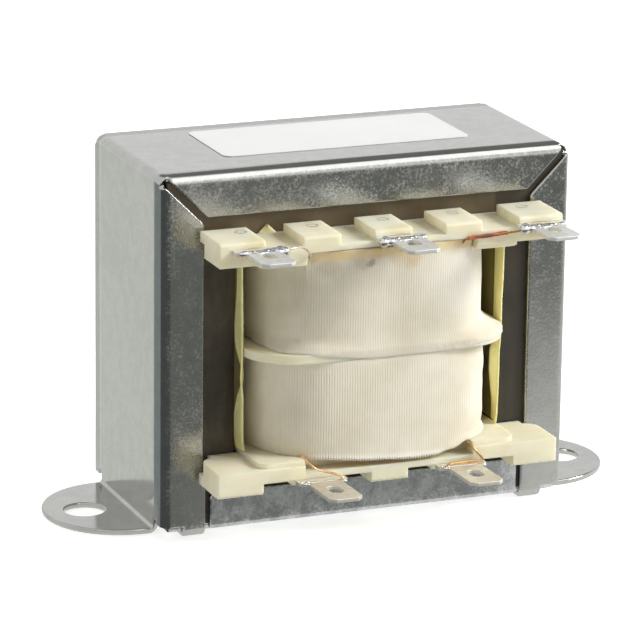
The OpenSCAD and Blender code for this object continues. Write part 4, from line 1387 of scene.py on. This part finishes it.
@dataclass
class Studio:
    """Camera, floor, white surroundings and soft lamps."""

    lens: float = 235.76
    yaw: float = 22.224
    pitch: float = 16.084
    roll: float = 0.742
    eye: tuple[float, float, float] = (-211.58, -514.70, 184.68)
    ambient: float = 0.25
    floor_half: float = 1500.0
    floor_glow: float = 0.66
    low_z: float = 0.3
    fan_centre: tuple[float, float, float] = (-28.3, -12.8, 0.6)
    fan_r: float = 900.0
    dome_r: float = 700.0
    dome_z: float = 40.0
    lamps: tuple[Lamp, ...] = (
        Lamp("key_lamp", (900, -445, 665), 460, 15.6, True),
        Lamp("left_lamp", (-760, 200, 520), 520, 2.0, False),
        Lamp("back_lamp", (150, 700, 700), 600, 2.8, False))

    def build(self) -> None:
        """Sets up everything around the object."""
        self._camera()
        self._world()
        self._floor()
        self._cards()
        for lamp in self.lamps:
            lamp.hang()

    def _camera(self) -> None:
        """Makes the camera at the photograph's viewing angle."""
        yaw, pitch, roll = (math.radians(a) for a in (self.yaw, self.pitch, self.roll))
        ahead = Vector((math.sin(yaw) * math.cos(pitch), math.cos(yaw) * math.cos(pitch),
                        -math.sin(pitch)))
        level = Vector((math.cos(yaw), -math.sin(yaw), 0.0))
        upright = level.cross(ahead)
        right = level * math.cos(roll) + upright * math.sin(roll)
        up = upright * math.cos(roll) - level * math.sin(roll)
        lens = bpy.data.cameras.new("camera")
        lens.lens = self.lens
        lens.sensor_width = 36.0
        lens.clip_start, lens.clip_end = 0.02, 20.0
        camera = bpy.data.objects.new("camera", lens)
        camera.matrix_world = Matrix.Translation(Vector(self.eye) * MM) @ Matrix(
            (right, up, -ahead)).transposed().to_4x4()
        bpy.context.scene.collection.objects.link(camera)
        bpy.context.scene.camera = camera

    @staticmethod
    def _seen(shader: Shader) -> Signal:
        """1 for the rays that show the white background, and 0 for those that light things."""
        names = ("Is Camera Ray", "Is Glossy Ray", "Is Transmission Ray")
        rays = [shader.node("ShaderNodeLightPath", output=name) for name in names]
        return rays[0].or_more(rays[1]).or_more(rays[2])

    def _world(self) -> None:
        """Lights everything from a plain world that shows white."""
        shader = Shader("studio_white", world=True)
        bpy.context.scene.world = shader.owner
        strength = self.ambient + self._seen(shader) * (1 - self.ambient)
        glow = shader.node("ShaderNodeBackground", {},
                           {"Color": (1.0, 1.0, 1.0), "Strength": strength})
        shader.node("ShaderNodeOutputWorld", {}, {"Surface": glow})

    def _floor(self) -> None:
        """Makes the pale floor, which shows white outside the object's shadow."""
        shader = Shader("pale_floor")
        speck = shader.noise(30.0, 2)
        matt = shader.node("ShaderNodeBsdfDiffuse", {}, {
            "Color": shader.blend((0.80, 0.80, 0.79), (0.83, 0.83, 0.82), speck)})
        glow = shader.glow((1.0, 1.0, 1.0), self._seen(shader) * self.floor_glow)
        shaded = shader.node("ShaderNodeAddShader", {}, {0: matt, 1: glow})
        even = shader.glow((1.0, 1.0, 0.985))
        gloss = shader.node("ShaderNodeLightPath", output="Is Glossy Ray")
        both = shader.end(shader.node("ShaderNodeMixShader", {},
                                      {0: gloss * 0.75, 1: shaded, 2: even}))
        half = self.floor_half
        self._sheet("floor", [(-half, -half, 0), (half, -half, 0), (half, half, 0),
                              (-half, half, 0)], both)

    def _cards(self) -> None:
        """Puts cards around, which only glossy things reflect.

        The front flanges mirror the floor in front, which turns lighter to the right. The upright
        bend at the left mirrors two darker fans on the floor, and the bend of the top mirrors
        the grey ceiling and a white panel.
        """
        low = self.low_z
        floor = Shader("front_card")
        x, y = floor.axis("X"), floor.axis("Y")
        aside = (x + 26.6) * 0.926 + (y + 14.0) * 0.376
        near = y.rise(-62.0, -26.0) * (aside.rise(-4.0, 9.0) * 0.8 + 0.2)
        grey = floor.blend((0.225, 0.235, 0.225), (0.38, 0.39, 0.375), near)
        grey = floor.blend(grey, (1.0, 1.0, 0.98), aside.rise(35.0, 51.0) * y.rise(-145.0, -22.0))
        self._card("front_card", floor.end(floor.glow(grey)), [
            (-60, -16.5, low), (30, -16.5, low), (420, -60, low), (420, -420, low),
            (-60, -420, low)])
        stand = Shader("standing_card")
        grey = stand.blend((0.225, 0.235, 0.235), (1.5, 1.5, 1.5),
                           stand.axis("Z").rise(20.0, 175.0))
        self._card("standing_card", stand.end(stand.glow(grey)), [
            (-300, -421, low), (420, -421, low), (420, -421, 175), (-300, -421, 175)])
        plain = (
            ("wall_card", (0.90, 0.925, 0.87), [
                (-30, -12, low), (-30, 400, low), (-420, 400, low), (-420, -12, low)]),
            ("side_fan", (0.36, 0.40, 0.415), self._fan(124, 193)),
            ("dark_fan", (0.11, 0.12, 0.12), self._fan(193, 282)),
            ("ceiling_card", (0.26, 0.265, 0.265), self._dome(-10, 66, 28, 75)),
            ("rear_card", (0.26, 0.265, 0.265), self._dome(66, 118, 40, 75)),
            ("zenith_card", (0.30, 0.305, 0.305), self._dome(-60, 300, 72, 89)),
            ("white_panel", (2.3, 2.3, 2.3), self._dome(-84, -22, 27, 64)),
        )
        for name, colour, corners in plain:
            shader = Shader(name)
            self._card(name, shader.end(shader.glow(colour)), corners)

    def _fan(self, first: float, last: float) -> list[Point]:
        """Corners of a fan on the floor around the frame's left front bend, by its angles."""
        x, y, z = self.fan_centre
        turns = [math.radians(first + (last - first) * k / 6) for k in range(7)]
        rim = [(x + self.fan_r * math.cos(t), y + self.fan_r * math.sin(t), z) for t in turns]
        return [self.fan_centre, *rim]

    def _dome(self, first: float, last: float, low: float, high: float) -> list[Point]:
        """Corners of a card overhead, by its bearings and its heights as angles."""
        def spot(bearing: float, height: float) -> Point:
            """One corner."""
            turn, tilt = math.radians(bearing), math.radians(height)
            flat = self.dome_r * math.cos(tilt)
            return (flat * math.cos(turn), flat * math.sin(turn),
                    self.dome_r * math.sin(tilt) + self.dome_z)
        steps = [first + (last - first) * k / 4 for k in range(5)]
        return [spot(b, low) for b in steps] + [spot(b, high) for b in steps[::-1]]

    def _card(self, name: str, material: bpy.types.Material, corners: Sequence[Point]) -> None:
        """Makes one card that only reflections show."""
        card = self._sheet(name, corners, material)
        card.visible_camera = False
        card.visible_diffuse = False
        card.visible_transmission = False
        card.visible_shadow = False

    @staticmethod
    def _sheet(name: str, corners: Sequence[Point],
               material: bpy.types.Material) -> bpy.types.Object:
        """Makes a flat sheet that isn't part of the object."""
        mesh = bpy.data.meshes.new(name)
        mesh.from_pydata([[v * MM for v in corner] for corner in corners], [],
                         [tuple(range(len(corners)))])
        mesh.materials.append(material)
        made = bpy.data.objects.new(name, mesh)
        bpy.context.scene.collection.objects.link(made)
        return made


def tape_stains_and_shading() -> tuple[StainAndShade, ...]:
    """Marks on the upper tape: varnish and heat near the lugs, dirt on its foot, painted shade on
    its upper left, left edge and middle, and painted light on its upper right.
    """
    gold, tan = (0.60, 0.36, 0.11), (0.56, 0.43, 0.24)
    return (
        StainAndShade((-3.4, -22.3, 38.6), 0.8, (0.16, 0.10, 0.05), 0.7),
        StainAndShade((-4.4, -22.3, 38.9), 2.0, (0.50, 0.37, 0.24), 0.4),
        StainAndShade((12.5, -20.8, 25.9), 5.5, (0.70, 0.60, 0.46), 0.3),
        StainAndShade((2.9, -22.3, 38.6), 1.7, gold, 0.5),
        StainAndShade((1.2, -22.3, 39.2), 2.6, tan, 0.5),
        StainAndShade((-11.2, -21.4, 39.9), 1.3, gold, 0.85),
        StainAndShade((9.0, -22.0, 39.4), 2.0, tan, 0.4),
        StainAndShade((-9.0, -21.9, 38.4), 2.0, (0.44, 0.33, 0.24), 0.4),
        # Painted shade over the upper left, along the left edge and in the middle of the tape.
        StainAndShade((-8.5, -20.5, 36.0), 9.0, (0.52, 0.47, 0.37), 0.34),
        StainAndShade((-15.0, -16.5, 34.0), 8.0, (0.40, 0.36, 0.22), 0.42),
        StainAndShade((1.0, -22.0, 36.0), 6.5, (0.58, 0.53, 0.44), 0.28),
        # Painted light: a lighter patch on the upper right of the tape.
        StainAndShade((10.5, -21.0, 34.5), 8.0, (0.93, 0.89, 0.79), 0.6),
        StainAndShade((9.6, -22.0, 24.7), 1.5, (0.55, 0.38, 0.24), 0.5),
        StainAndShade((12.6, -21.6, 24.9), 1.3, (0.60, 0.42, 0.27), 0.5),
        StainAndShade((15.0, -20.0, 25.3), 1.4, (0.58, 0.44, 0.30), 0.45),
    )


def slack_edge() -> tuple[tuple[float, float], ...]:
    """Lower edge of the lower tape, which sags: its X and height at each point."""
    return ((-12.15, 13.4475), (-9.0, 13.55), (-6.5, 13.8), (-4.0, 14.05), (-1.0, 14.2),
            (2.0, 14.4), (4.0, 14.45), (7.1, 14.4), (9.5, 14.05), (11.2, 13.4475))


def main() -> None:
    """Builds the looks in order."""
    logging.basicConfig(level=logging.INFO, format="%(name)s: %(message)s")
    bpy.context.scene.view_settings.view_transform = "Standard"
    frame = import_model()
    bench = Bench(frame["nodes"])
    Studio().build()
    parts = (SheetWork(), Core(), Bobbin(),
             Coil(Tier.UPPER, 16.95, 1.05, stains_and_shading=tape_stains_and_shading(), soaked_and_shaded=1.25),
             Coil(Tier.LOWER, 17.55, 0.15, drawn=slack_edge()),
             WindowLiner(Side.LEFT), WindowLiner(Side.RIGHT), FilmCorner(), Terminals(),
             TopLabel())
    for part in parts:
        part.build(bench)


if __name__ == "__main__":
    main()
